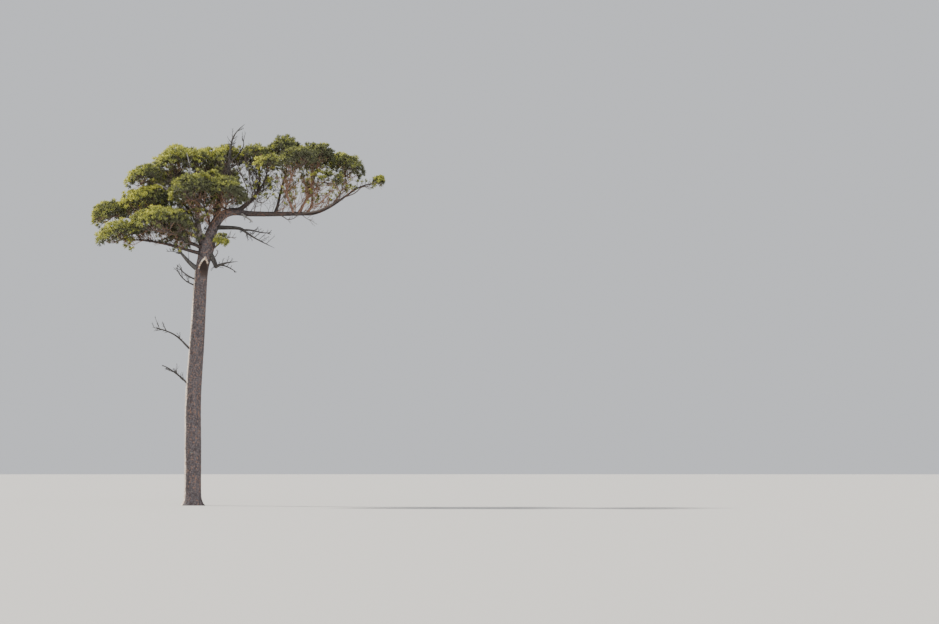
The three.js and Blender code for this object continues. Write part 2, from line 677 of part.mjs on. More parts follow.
// The stem of a mass: a line from just past its bough's tip to the head.
function stemOf(mass, bough, seed) {
  const ahead = headingAt(bough.line, 1);
  const start = bough.line(1).addScaledVector(ahead, CLEARANCE);
  const middle = new THREE.Vector3(...mass.centre);
  const head = start.clone().lerp(middle, STEM.share);
  const height = mass.half[2];
  head.z = Math.max(start.z + STEM.least * height, middle.z - STEM.highest * height);
  const arrive = ahead.clone().lerp(UP, STEM.upturn).normalize();
  const drawn = { start, tip: head, leave: ahead, arrive, pull: STEM.pull, crook: STEM.crook };
  const thick = bough.radiusAt(1);
  return {
    start,
    head,
    ahead,
    line: limbLine(drawn, randomStream(seed)),
    radiusAt: (t) => thick * (1 - STEM.taper * t),
  };
}

// The way a main twig grows from a face of the stem to its own tuft.
function twigTo(skin, face, tuft, head, thin) {
  const end = tuft.place.clone().lerp(head, 1 - TWIG.share);
  end.z -= TWIG.drop * tuft.reach;
  const root = faceMiddle(skin, face);
  const out = end.clone().sub(root).setZ(0).normalize();
  const leave = out.clone().addScaledVector(UP, TWIG.leave).normalize();
  const arrive = out.clone().addScaledVector(UP, TWIG.arrive).normalize();
  const drawn = { start: root, tip: end, leave, arrive, pull: 1, crook: TWIG.crook };
  const line = limbLine(drawn, tuft.random);
  const radiusAt = (t) => thin * THREE.MathUtils.lerp(TWIG.root, TWIG.tip, t);
  const grow = (into, base) => {
    const grown = runOn(into, base, line, radiusAt, TWIG.stations);
    openTuft(into, grown.end, end, tuft);
    return grown.faces.slice(2 * TWIG.sides);
  };
  return { face, root, grow };
}

// One mass: a stem on the bough's tip, main twigs from its head, and tufts along them.
// A twig or tuft that would touch a limb or a neighbouring tuft is left out.
function growMass(mass, bough, placed, seed) {
  const spacing = mass.spacing ?? TUFT.spacing;
  const thin = Math.min(1, spacing / TUFT.spacing);
  const space = {
    min: mass.centre.map((middle, k) => middle - mass.half[k]),
    max: mass.centre.map((middle, k) => middle + mass.half[k]),
  };
  const around = placed.filter(({ box }) => boxesMeet(box, space, spacing)).map(({ solid }) => solid);
  const own = [];

  const skin = newSkin();
  const stem = stemOf(mass, bough, seed);
  const foot = addRing(skin, {
    centre: stem.start,
    along: stem.ahead,
    start: perpendicular(stem.ahead),
    count: STEM.sides,
    radiusAt: () => stem.radiusAt(0),
  });
  const { end, faces } = runOn(skin, foot, stem.line, stem.radiusAt, STEM.stations);
  for (let k = 2; k < STEM.sides; k += 1) {
    skin.faces.push([foot[0], foot[k], foot[k - 1]], [end[0], end[k - 1], end[k]]);
  }
  const stemFaces = faces.slice(2 * STEM.sides);

  for (const group of shareOut(domeTufts(mass, seed), stem.head)) {
    let twig = null;
    while (!twig && group.length) {
      const tuft = group.shift();
      const face = bestFace(skin, stemFaces, tuft.place);
      const tried = twigTo(skin, face, tuft, stem.head, thin);
      const trial = trialOf(skin, face, tried.grow);
      if (isClear(trial.whole, around) && isClear(trial.upper, own)) {
        twig = tried;
        own.push(trial.upper);
      }
    }
    if (!twig) continue;
    stemFaces.splice(stemFaces.indexOf(twig.face), 1);
    openFace(skin, twig.face);
    const twigFaces = twig.grow(skin, twig.face);
    for (const tuft of group) {
      const face = bestFace(skin, twigFaces, tuft.place.clone().lerp(twig.root, TWIG.back));
      const grow = (into, base) => stalkedTuft(into, base, tuft);
      const trial = trialOf(skin, face, grow);
      if (!isClear(trial.whole, around) || !isClear(trial.upper, own)) continue;
      own.push(trial.upper);
      twigFaces.splice(twigFaces.indexOf(face), 1);
      openFace(skin, face);
      grow(skin, face);
    }
  }
  return skinSolid(skin);
}

// The raised lip round the torn-out limb's socket, an arch on the front of the neck.
function scarLip(grow) {
  const foot = trunkLine(SCAR.height / TRUNK.height);
  const depth = trunkRadius(SCAR.height / TRUNK.height);
  const line = (t) => {
    const angle = Math.PI * (1 - t);
    const [over, up] = [(SCAR.width / 2) * Math.cos(angle), Math.sin(angle)];
    const right = over + SCAR.skew * (1 + up);
    const front = Math.sqrt(depth ** 2 - over ** 2);
    return foot.clone().add(new THREE.Vector3(right, -front, SCAR.rise * up));
  };
  return tube({ line, radiusAt: () => SCAR.lip, sides: SCAR.sides, rings: SCAR.rings, grow });
}

// The trunk's rings are level, closer together in the root flare and at the rounded top.
function trunkSolid(grow = 0) {
  const share = (t) => {
    const crowding = t < 0.5 ? TRUNK.footCrowding : TRUNK.topCrowding;
    return t - crowding * Math.sin(2 * Math.PI * t);
  };
  const bole = tube({
    line: (t) => trunkLine(share(t)),
    radiusAt: (t, angle) => trunkRadius(share(t)) + trunkFlare(share(t) * TRUNK.height, angle),
    facing: () => UP.clone(),
    sides: TRUNK.sides,
    rings: TRUNK.rings,
    grow,
  });
  return bole.add(scarLip(grow));
}

const tree = new THREE.Group();

function addNode(name, solid, { color, roughness, metalness }) {
  const material = new THREE.MeshStandardMaterial({ color, roughness, metalness });
  const mesh = new THREE.Mesh(geometryOf(solid), material);
  mesh.name = name;
  tree.add(mesh);
}

const limbs = new Map([["trunk", { line: trunkLine, radiusAt: trunkRadius }]]);
const cutters = [boxed(trunkSolid(CLEARANCE))];
const placed = [boxed(trunkSolid())];
addNode("trunk", trunkSolid(), BARK);

BOUGHS.forEach((row, i) => {
  const bough = limbFrom(limbs.get(row.from), row, randomStream(SEEDS.boughs + i));
  const solid = cutClear(bough.solid(), cutters);
  addNode(row.name, solid, BOUGH_BARK);
  limbs.set(row.name, bough);
  cutters.push(boxed(bough.solid(CLEARANCE)));
  placed.push(boxed(solid));
});

DEAD_LIMBS.forEach((row, i) => {
  const random = randomStream(SEEDS.deadLimbs + i);
  const main = limbFrom(limbs.get(row.from), row, random);
  const forks = (row.forks ?? []).map((fork) => limbFrom(main, fork, random));
  const twigs = Array.from({ length: row.twigs ?? 0 }, () => sideTwig(main, row.twigLength, random));
  const parts = [main.solid(), ...forks.map((fork) => fork.solid()), ...twigs];
  const solid = cutClear(wasm.Manifold.union(parts), cutters);
  addNode(row.name, solid, DEAD_WOOD);
  cutters.push(boxed(solid));
  placed.push(boxed(solid));
});

MASSES.forEach((mass, i) => {
  const bough = limbs.get(mass.bough ?? `bough_${mass.name}`);
  const solid = growMass(mass, bough, placed, SEEDS.masses + i * SEEDS.massStep);
  addNode(`needles_${mass.name}`, solid, NEEDLES);
  placed.push(boxed(solid));
});

export default tree;
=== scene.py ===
"""A lone Scots pine, dressed with bark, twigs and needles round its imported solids.

The limbs, the masses and their tufts follow the same rows and the same seeded rule as
the solids. They are carried on here to finer twigs, shoots and needles, within the
same reach. The rows are in millimetres and everything that is built is in metres.
"""

from __future__ import annotations

import json
import logging
import math
from dataclasses import dataclass, field, replace
from enum import Enum
from itertools import product
from typing import Callable, Iterable, Protocol

import bmesh
import bpy
import numpy as np
from bmesh.types import BMesh
from bpy.types import ID, Material, Mesh, Node, NodeSocket, NodeTree, Object
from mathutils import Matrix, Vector

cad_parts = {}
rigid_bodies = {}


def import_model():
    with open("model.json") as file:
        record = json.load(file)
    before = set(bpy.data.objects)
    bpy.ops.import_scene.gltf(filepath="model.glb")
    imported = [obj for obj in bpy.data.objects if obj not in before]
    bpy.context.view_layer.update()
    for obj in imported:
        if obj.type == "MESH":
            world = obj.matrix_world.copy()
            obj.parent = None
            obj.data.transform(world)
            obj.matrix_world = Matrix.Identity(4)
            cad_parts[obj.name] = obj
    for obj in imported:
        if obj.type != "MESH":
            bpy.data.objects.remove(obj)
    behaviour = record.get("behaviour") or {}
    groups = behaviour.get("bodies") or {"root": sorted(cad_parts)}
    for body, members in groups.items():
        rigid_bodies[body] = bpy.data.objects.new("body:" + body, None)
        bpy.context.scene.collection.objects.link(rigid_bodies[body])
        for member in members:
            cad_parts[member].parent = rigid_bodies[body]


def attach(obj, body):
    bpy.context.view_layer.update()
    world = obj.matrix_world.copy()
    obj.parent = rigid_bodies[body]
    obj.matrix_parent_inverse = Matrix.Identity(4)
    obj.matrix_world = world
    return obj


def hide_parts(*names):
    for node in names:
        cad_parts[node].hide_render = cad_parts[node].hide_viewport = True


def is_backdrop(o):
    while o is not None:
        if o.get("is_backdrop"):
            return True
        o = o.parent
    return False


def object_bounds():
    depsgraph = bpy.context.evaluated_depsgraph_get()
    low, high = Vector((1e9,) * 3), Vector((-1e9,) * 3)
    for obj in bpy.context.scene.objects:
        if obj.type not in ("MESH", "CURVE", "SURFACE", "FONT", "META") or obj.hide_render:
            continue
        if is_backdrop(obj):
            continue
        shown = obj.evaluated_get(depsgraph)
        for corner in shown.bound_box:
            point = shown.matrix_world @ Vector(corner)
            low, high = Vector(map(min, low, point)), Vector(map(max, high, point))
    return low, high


log = logging.getLogger("scots_pine")

Array = np.ndarray
Pair = tuple[float, float]
Triple = tuple[float, float, float]
Colour = Triple
Colours = tuple[Colour, ...]
Rng = np.random.Generator

MM = 0.001
TURN = 2 * math.pi
GOLDEN_ANGLE = math.pi * (3 - math.sqrt(5))
X_AXIS, Y_AXIS, UP = np.eye(3)
TINY = 1e-12
WORD = 0xFFFFFFFF  # all the bits of a 32-bit number
SUN = (143.0, 42.0)  # its heading and its height, in degrees
BODY = "root"


class Slot(Enum):
    """The record's material slots."""

    TRUNK = "trunk_bark"
    BOUGH = "bough_bark"
    DEAD = "dead_wood"
    NEEDLES = "needles"


class Region(Enum):
    """The parts of the crown whose small pieces are joined together."""

    LEFT = "left"
    CENTRE = "centre"
    RIGHT = "right"
    BACK = "back"


class Shade(Enum):
    """The shades of needles that are dealt out by shoot, darkest first: mostly painted shade and
    painted sunlight, partly the needles' own darker older and yellower younger growth.
    """

    DEEP = "deep"
    OLIVE = "olive"
    FRESH = "fresh"
    SUNLIT = "sunlit"


class Tone(Enum):
    """The barks of the fine living twigs."""

    OLD = "old"
    YOUNG = "young"


# The seeded rule that the solids follow


@dataclass
class Stream:
    """A repeatable stream of numbers from 0 to 1, the same as the one of the solids."""

    state: int
    step: int = 0x6D2B79F5
    odd: int = 61
    shifts: tuple[int, int, int] = (15, 7, 14)

    def __call__(self) -> float:
        """Returns the next number."""
        first, second, third = self.shifts
        self.state = (self.state + self.step) & WORD
        mixed = ((self.state ^ (self.state >> first)) * (self.state | 1)) & WORD
        mixed ^= (mixed + (((mixed ^ (mixed >> second)) * (mixed | self.odd)) & WORD)) & WORD
        return ((mixed ^ (mixed >> third)) & WORD) / (WORD + 1)

    def signed(self) -> float:
        """Returns the next number, spread from -1 to 1."""
        return 2 * self() - 1

    def between(self, low: float, high: float) -> float:
        """Returns the next number, spread from low to high."""
        return low + (high - low) * self()


def unit(vector: Array) -> Array:
    """Returns the vector, or each of several, at length 1."""
    return vector / np.maximum(np.linalg.norm(vector, axis=-1, keepdims=True), TINY)


def across_from(vector: Array, along: Array) -> Array:
    """Returns what is left of a vector across a direction, at length 1."""
    return unit(vector - np.sum(vector * along, axis=-1, keepdims=True) * along)


def fade(value: Array, start: float | Array, over: float) -> Array:
    """Returns 0 up to the start and then a rise to 1, or down from it where `over` is negative."""
    return np.clip((value - start) / over, 0, 1)


def spare_axis(way: Array, limit: float = 0.8) -> Array:
    """Returns the axis to the right, or the one to the back for ways nearer to that one."""
    return np.where(np.abs(way[..., :1]) < limit, X_AXIS, Y_AXIS)


def frame_round(way: Array) -> tuple[Array, Array]:
    """Returns two directions across each of several, at right angles to each other."""
    across = across_from(spare_axis(way), way)
    return across, np.cross(way, across)


def ring_round(across: Array, over: Array, turn: Array) -> Array:
    """Returns the directions at each turn, in radians, from one direction over to another."""
    return np.cos(turn)[..., None] * across + np.sin(turn)[..., None] * over


def heading_vector(heading: float, rise: float) -> Array:
    """Returns the direction with this heading (0 right, 90 back) and rise, in degrees."""
    turn, lift = math.radians(heading), math.radians(rise)
    return np.array([math.cos(lift) * math.cos(turn), math.cos(lift) * math.sin(turn), math.sin(lift)])


def cubic(a: Array, b: Array, leave_by: Array, arrive_by: Array, t: Array) -> Array:
    """Points of the cubic from a to b that leaves and arrives along two given vectors.

    Args:
        a: the first point.
        b: the last point.
        leave_by: the vector that it leaves by.
        arrive_by: the vector that it arrives by.
        t: places along it, from 0 to 1.

    Returns:
        One point for each place.
    """
    t = np.asarray(t, float)[..., None]
    rest = 1 - t
    return (
        a * rest**2 * (1 + 2 * t)
        + leave_by * rest**2 * t
        + b * t**2 * (3 - 2 * t)
        - arrive_by * t**2 * rest
    )


@dataclass(frozen=True)
class Space:
    """The box of the solids, which everything that grows here keeps to."""

    low: Array
    high: Array

    def hold(self, points: Array, inset: float) -> Array:
        """Returns the points, brought in where they are too near a side."""
        return np.clip(points, self.low + inset, self.high - inset)

    def holds(self, points: Array, inset: float = 0.0) -> Array:
        """Returns whether each point is inside, and at least that far from the sides."""
        return np.all((points > self.low + inset) & (points < self.high - inset), axis=-1)


class Line(Protocol):
    """A centre-line, as points at places from 0 to 1."""

    def at(self, t: Array | float) -> Array:
        """Returns the points at these places."""


def heading_at(line: Line, t: float) -> Array:
    """Returns the direction of a line at t, over the same step as in the solids."""
    step = 0.01
    return unit(line.at(min(1.0, t + step)) - line.at(max(0.0, t - step)))


@dataclass
class LimbLine:
    """The centre-line of a limb: a cubic with a seeded crook."""

    start: Array
    tip: Array
    leave: Array
    arrive: Array
    stream: Stream
    pull: float = 1.0
    crook: float = 0.03

    def __post_init__(self) -> None:
        """Draws the crook's three waves."""
        chord = self.tip - self.start
        self.reach = float(np.linalg.norm(chord))
        self.side = unit(np.cross(chord, UP))
        self.over = unit(np.cross(self.side, chord))
        swing = self.crook * self.reach
        self.waves = [
            (turns, self.stream.signed() * swing / turns, self.stream.signed() * swing / turns)
            for turns in (1, 2, 3)
        ]

    def at(self, t: Array | float) -> Array:
        """Returns the points at these places."""
        steer = self.reach * self.pull
        points = cubic(self.start, self.tip, self.leave * steer, self.arrive * steer, t)
        for turns, side, over in self.waves:
            bend = np.sin(math.pi * turns * np.asarray(t, float))[..., None]
            points = points + bend * (side * self.side + over * self.over)
        return points


@dataclass
class JoinedLine:
    """Several lines end to end, as one."""

    lines: list[Line]

    def at(self, t: Array | float) -> Array:
        """Returns the points at these places, each line taking an even share."""
        places = np.atleast_1d(np.asarray(t, float)) * len(self.lines)
        which = np.clip(places.astype(int), 0, len(self.lines) - 1)
        points = np.array([self.lines[k].at(p - k) for k, p in zip(which, places)])
        return points if np.ndim(t) else points[0]


@dataclass
class PlacesLine:
    """A smooth line through given places."""

    places: Array

    def at(self, t: Array | float) -> Array:
        """Returns the points at these places."""
        last = len(self.places) - 1
        spot = np.asarray(t, float) * last
        i = np.clip(spot.astype(int), 0, last - 1)
        before, low, high, after = (self.places[np.clip(i + k, 0, last)] for k in range(-1, 3))
        return cubic(low, high, (high - before) / 2, (after - low) / 2, spot - i)


# The trunk's rows and sizes


@dataclass(frozen=True)
class Lean:
    """Where the trunk's centre stands at a height."""

    height: float
    right: float
    back: float


TRUNK_LEAN = (
    Lean(0, 0, 0),
    Lean(2400, 5, 20),
    Lean(4450, 0, 40),
    Lean(6970, 150, 20),
    Lean(8650, 235, -10),
    Lean(9830, 320, 0),
    Lean(10450, 460, 0),
    Lean(10850, 530, 0),
    Lean(11300, 520, 0),
)


@dataclass(frozen=True)
class TrunkShape:
    """The trunk's sizes and its centre-line, in the solids' millimetres."""

    height: float = 11300
    foot_radius: float = 345
    neck_radius: float = 272
    neck_height: float = 9500
    taper_power: float = 1.8
    crotch_swell: float = 85
    crotch_height: float = 11150
    crotch_spread: float = 620
    crown_round: float = 240
    crown_draw: float = 0.5
    flare: float = 150
    flare_height: float = 170
    flare_lobes: int = 5
    lobe_depth: float = 0.3
    lobe_turn: float = 0.7

    def at(self, t: Array | float) -> Array:
        """Returns points of the centre-line, in metres."""
        if np.ndim(t):
            return np.array([self.at(float(one)) for one in t])
        height = t * self.height
        last = len(TRUNK_LEAN) - 1
        i = 0
        while i < last - 1 and TRUNK_LEAN[i + 1].height < height:
            i += 1
        before, low, high, after = (TRUNK_LEAN[min(max(n, 0), last)] for n in range(i - 1, i + 3))
        span = high.height - low.height

        def lean(row: Lean) -> Array:
            """Returns how far a row stands from the origin."""
            return np.array([row.right, row.back, 0.0])

        def steer(a: Lean, b: Lean) -> Array:
            """Returns how fast the lean changes between two rows, over this span."""
            return (lean(b) - lean(a)) * span / (b.height - a.height)

        share = (height - low.height) / span
        point = cubic(lean(low), lean(high), steer(before, high), steer(low, after), share)
        point[2] = height
        return point * MM

    def radius(self, t: Array | float) -> Array:
        """Returns the radius without the root flare, in metres."""
        height = np.asarray(t, float) * self.height
        taper = np.minimum(1, height / self.neck_height) ** self.taper_power
        bole = self.foot_radius + (self.neck_radius - self.foot_radius) * taper
        crotch = np.exp(-(((height - self.crotch_height) / self.crotch_spread) ** 2))
        into_round = np.maximum(0, height - self.height + self.crown_round) / self.crown_round
        rounded = np.sqrt(1 - self.crown_draw * into_round**2)
        return (bole + self.crotch_swell * crotch) * rounded * MM

    def root_flare(self, height: Array, angle: Array) -> Array:
        """Returns how far the root flare stands out, for heights and angles round it."""
        lobe = 1 + self.lobe_depth * np.cos(self.flare_lobes * angle + self.lobe_turn)
        return self.flare * MM * np.exp(-height / (self.flare_height * MM)) * lobe


# The limbs' rows


@dataclass(frozen=True)
class LimbRow:
    """A limb, as the solids' rows give it: millimetres, and headings in degrees."""

    name: str
    parent: str
    at: float
    tip: Triple
    leave: Pair
    arrive: Pair
    root: float
    end: float
    pull: float = 1.0
    crook: float = 0.03
    taper: float = 1.0
    collar: float = 0.3
    twigs: int = 0
    twig_length: float = 0.0
    forks: tuple["LimbRow", ...] = ()


BOUGHS = (
    LimbRow("arm_rise", "trunk", 0.955, (2060, -60, 12245), (-10, 76), (0, -16), 235, 122, pull=1.45,
            crook=0.008, taper=0.6),
    LimbRow("arm_run", "arm_rise", 1, (4810, -200, 12225), (0, -16), (0, 4), 122, 70, pull=0.3,
            crook=0.01, collar=0),
    LimbRow("arm_end", "arm_run", 1, (7420, -200, 13530), (0, 4), (0, 16), 70, 20, crook=0.02, collar=0),
    LimbRow("centre_leader", "arm_rise", 0.42, (1380, 100, 13870), (60, 80), (0, 68), 125, 60,
            crook=0.02),
    LimbRow("left_leader", "trunk", 0.94, (200, 900, 14090), (170, 62), (75, 84), 150, 34, crook=0.012,
            taper=0.7),
    LimbRow("bough_right_inner", "arm_rise", 0.9, (2720, 300, 14230), (5, 42), (20, 88), 92, 32, pull=1.8,
            crook=0.02),
    LimbRow("bough_right_lit", "bough_right_inner", 0.5, (3010, -900, 13930), (-50, 35), (-60, 60),
            40, 24),
    LimbRow("bough_right_crest", "arm_run", 0.48, (3860, 200, 14100), (20, 64), (30, 74), 64, 28),
    LimbRow("bough_right_front", "arm_run", 0.7, (4060, -1500, 13800), (-120, 58), (-40, 68), 44, 24,
            pull=1.6),
    LimbRow("bough_right_shoulder", "arm_run", 0.76, (5110, -200, 14100), (-10, 40), (20, 62), 60, 26,
            pull=0.8),
    LimbRow("bough_right_low", "bough_right_shoulder", 0.28, (5060, -800, 13260), (-40, 44),
            (-40, 48), 38, 22, pull=0.8),
    LimbRow("bough_right_back", "arm_run", 0.9, (4990, 1600, 14230), (55, 35), (85, 45), 48, 24),
    LimbRow("bough_right_outer", "arm_end", 0.36, (6330, 200, 13620), (15, 60), (10, 66), 38, 20),
    LimbRow("bough_top_centre", "centre_leader", 0.78, (1240, 820, 14190), (105, 35), (100, 72), 46, 26),
    LimbRow("bough_front_right", "centre_leader", 0.36, (1300, -1130, 12400), (-75, 4), (-90, 30), 62,
            30),
    LimbRow("bough_back_centre", "centre_leader", 0.22, (780, 2150, 13380), (95, 28), (90, 52), 64, 30),
    LimbRow("bough_front_left", "arm_rise", 0.25, (383, -1050, 12541), (-135, 72), (-110, 72), 58, 30,
            pull=0.8),
    LimbRow("bough_upper_left", "left_leader", 0.5, (-760, 760, 13620), (175, 30), (155, 50), 60, 30),
    LimbRow("bough_upper_left_tip", "left_leader", 0.3, (-1560, -120, 13430), (188, 32), (180, 22),
            54, 26),
    LimbRow("bough_back_left", "left_leader", 0.38, (-540, 2100, 13140), (115, 25), (105, 42), 56, 28),
    LimbRow("bough_left_shelf", "trunk", 0.978, (-1350, 240, 12200), (172, 16), (178, 44), 84, 36),
    LimbRow("bough_left_tip", "bough_left_shelf", 0.36, (-2840, 520, 12080), (165, 2), (176, 14), 58, 28),
    LimbRow("bough_low_left_inner", "trunk", 0.948, (-720, -1380, 11190), (-140, 16), (-125, 26), 72, 32),
    LimbRow("bough_low_left_outer", "trunk", 0.93, (-2260, -980, 10990), (-160, 7), (178, 6), 78, 36,
            pull=0.8, crook=0.015),
    LimbRow("bough_back_low_left", "trunk", 0.94, (-1380, 1850, 12060), (135, 14), (142, 34), 76, 32),
    LimbRow("bough_sprig", "trunk", 0.947, (1110, -260, 10990), (-35, 8), (0, 52), 38, 20, crook=0.02),
)
LONG_ARM = ("arm_rise", "arm_run", "arm_end")
IN_VIEW = (  # limbs in front of the needles, where each one starts to be, and its berth in metres
    ("dead_top", 0.0, 0.13),
    ("dead_pale_snag", 0.5, 0.14),
    ("arm_rise", 0.3, 0.1),
    ("dead_fork_right", 0.0, 0.2),
)

DEAD_LIMBS = (
    LimbRow("dead_top", "centre_leader", 1, (2110, 300, 16060), (0, 80), (0, 40), 60, 13, pull=1.4,
            taper=0.75, twigs=4, twig_length=420, forks=(
                LimbRow("", "", 0.17, (1950, 0, 15460), (-10, 44), (160, 60), 40, 11, pull=1.2,
                        taper=0.8),
                LimbRow("", "", 0.06, (2150, -100, 14500), (-10, 40), (0, 30), 42, 16),
            )),
    LimbRow("dead_pale_snag", "left_leader", 0.66, (-340, -280, 14750), (230, 30), (170, 84), 42, 17,
            twigs=1, twig_length=260),
    LimbRow("dead_fork_right", "arm_rise", 0.32, (3340, -950, 10710), (-25, -4), (4, -24), 82, 13,
            pull=2.4, crook=0.015, taper=0.7, twigs=5, twig_length=420, forks=(
                LimbRow("", "", 0.47, (3200, -1200, 11340), (-14, 6), (-4, 0), 40, 13, taper=0.8),
            )),
    LimbRow("dead_elbow", "trunk", 0.95, (1830, -560, 10165), (-25, -52), (0, 5), 112, 15, pull=3,
            crook=0.01, taper=0.75, twigs=4, twig_length=330, forks=(
                LimbRow("", "", 0.7, (1760, -420, 9700), (6, -4), (-4, -58), 34, 12, taper=0.8),
            )),
    LimbRow("dead_hanging_stub", "arm_rise", 0.93, (2440, -360, 11830), (-60, -30), (-20, -42), 44, 30),
    LimbRow("dead_grey_low_left", "trunk", 0.868, (-700, -320, 10690), (190, 20), (180, 48), 116, 26,
            taper=0.75, twigs=2, twig_length=420, forks=(
                LimbRow("", "", 0.84, (-1150, -420, 10560), (190, 8), (184, -20), 22, 9),
            )),
    LimbRow("dead_stub_high", "trunk", 0.826, (-580, -260, 9850), (196, 16), (186, 42), 40, 16,
            taper=0.7),
    LimbRow("dead_stub_curl", "trunk", 0.804, (-730, 200, 9960), (170, 22), (130, 84), 34, 13, pull=1.2,
            taper=0.7),
    LimbRow("dead_stub_middle", "trunk", 0.558, (-1710, 180, 7430), (178, 42), (176, 10), 46, 14,
            taper=0.7, twigs=2, twig_length=260),
    LimbRow("dead_stub_low", "trunk", 0.421, (-1310, -200, 5840), (184, 58), (186, 12), 44, 20, taper=0.6,
            twigs=2, twig_length=240),
)


@dataclass(frozen=True)
class MassRow:
    """A mass of needles, as the solids' rows give it, in millimetres.

    The cover is the share of its clumps that are there, and `bright` is added to the
    painted sunlight that picks the shades of its needles.
    """

    name: str
    region: Region
    centre: Triple
    half: Triple
    slope: float
    bough: str = ""
    spacing: float = 500.0
    cover: float = 1.0
    bright: float = 0.0

    @property
    def limb(self) -> str:
        """The limb that carries it."""
        return self.bough or f"bough_{self.name}"


LEFT, CENTRE, RIGHT, BACK = Region
MASSES = (
    MassRow("low_left_outer", LEFT, (-3050, -1200, 11180), (1100, 1150, 660), 0.14, bright=0.08),
    MassRow("low_left_inner", LEFT, (-1400, -1900, 11640), (1380, 1350, 680), 0.04, bright=0.1),
    MassRow("left_tip", LEFT, (-3600, 620, 12200), (940, 1250, 600), 0.24, bright=0.12),
    MassRow("left_shelf", LEFT, (-1990, 220, 12730), (1200, 1450, 680), 0.05, bright=0.15),
    MassRow("upper_left_tip", LEFT, (-2110, -300, 13720), (860, 1050, 500), 0.34, bright=0.12),
    MassRow("upper_left", LEFT, (-860, 900, 14400), (1060, 1550, 840), 0.3, bright=0.2),
    MassRow("top_left", CENTRE, (330, 1300, 14550), (840, 1450, 640), 0, "left_leader", bright=0.12),
    MassRow("top_centre", CENTRE, (1330, 1000, 14610), (820, 1350, 640), 0, bright=0.2),
    MassRow("front_left", CENTRE, (-130, -1700, 12940), (1050, 1450, 860), 0.26),
    MassRow("front_right", CENTRE, (1360, -1500, 12910), (960, 1350, 800), -0.3, bright=-0.12),
    MassRow("right_inner", RIGHT, (2560, 300, 14660), (820, 1300, 560), 0.05),
    MassRow("right_lit", RIGHT, (3040, -1350, 14220), (640, 800, 340), 0, cover=0.7, bright=0.06),
    MassRow("right_crest", RIGHT, (3780, 250, 14860), (900, 1400, 760), 0, bright=-0.1),
    MassRow("right_shoulder", RIGHT, (5150, -200, 14640), (860, 1250, 660), -0.08),
    MassRow("right_outer", RIGHT, (6400, 200, 14230), (830, 1250, 640), -0.36),
    MassRow("right_tip", RIGHT, (7790, -200, 13660), (330, 380, 190), 0, "arm_end", spacing=300,
            bright=0.3),
    MassRow("right_front", RIGHT, (4300, -2050, 14300), (920, 1050, 560), 0, bright=-0.12),
    MassRow("right_low", RIGHT, (5560, -1150, 13640), (800, 700, 300), -0.1, cover=0.35, bright=0.15),
    MassRow("right_back", BACK, (5080, 2250, 14760), (960, 1200, 560), 0, bright=-0.15),
    MassRow("back_low_left", BACK, (-2370, 2600, 12620), (1100, 1250, 600), 0.1, bright=-0.15),
    MassRow("back_left", BACK, (-1050, 2900, 13800), (1100, 1250, 620), 0.1, bright=-0.15),
    MassRow("back_centre", BACK, (900, 3000, 14050), (1150, 1300, 600), 0, bright=-0.15),
    MassRow("sprig", CENTRE, (1170, -320, 11230), (260, 280, 260), 0, spacing=210, cover=0.5, bright=0.5),
)


@dataclass(frozen=True)
class TwigRow:
    """Fine twigs along part of a limb.

    The length is in metres. `rise` and `ahead` steer the twigs up and along the limb,
    `leafy` is the share of tips with a clump, and painted sunlight, `light`, picks its needles' shades.
    """

    limb: str
    tone: Tone
    count: int
    span: Pair
    length: float
    rise: float = 0.4
    ahead: float = 0.8
    leafy: float = 0.2
    light: float = 0.4

    @property
    def region(self) -> Region:
        """The part of the crown that its limb belongs to."""
        return LIMB_REGIONS[self.limb]


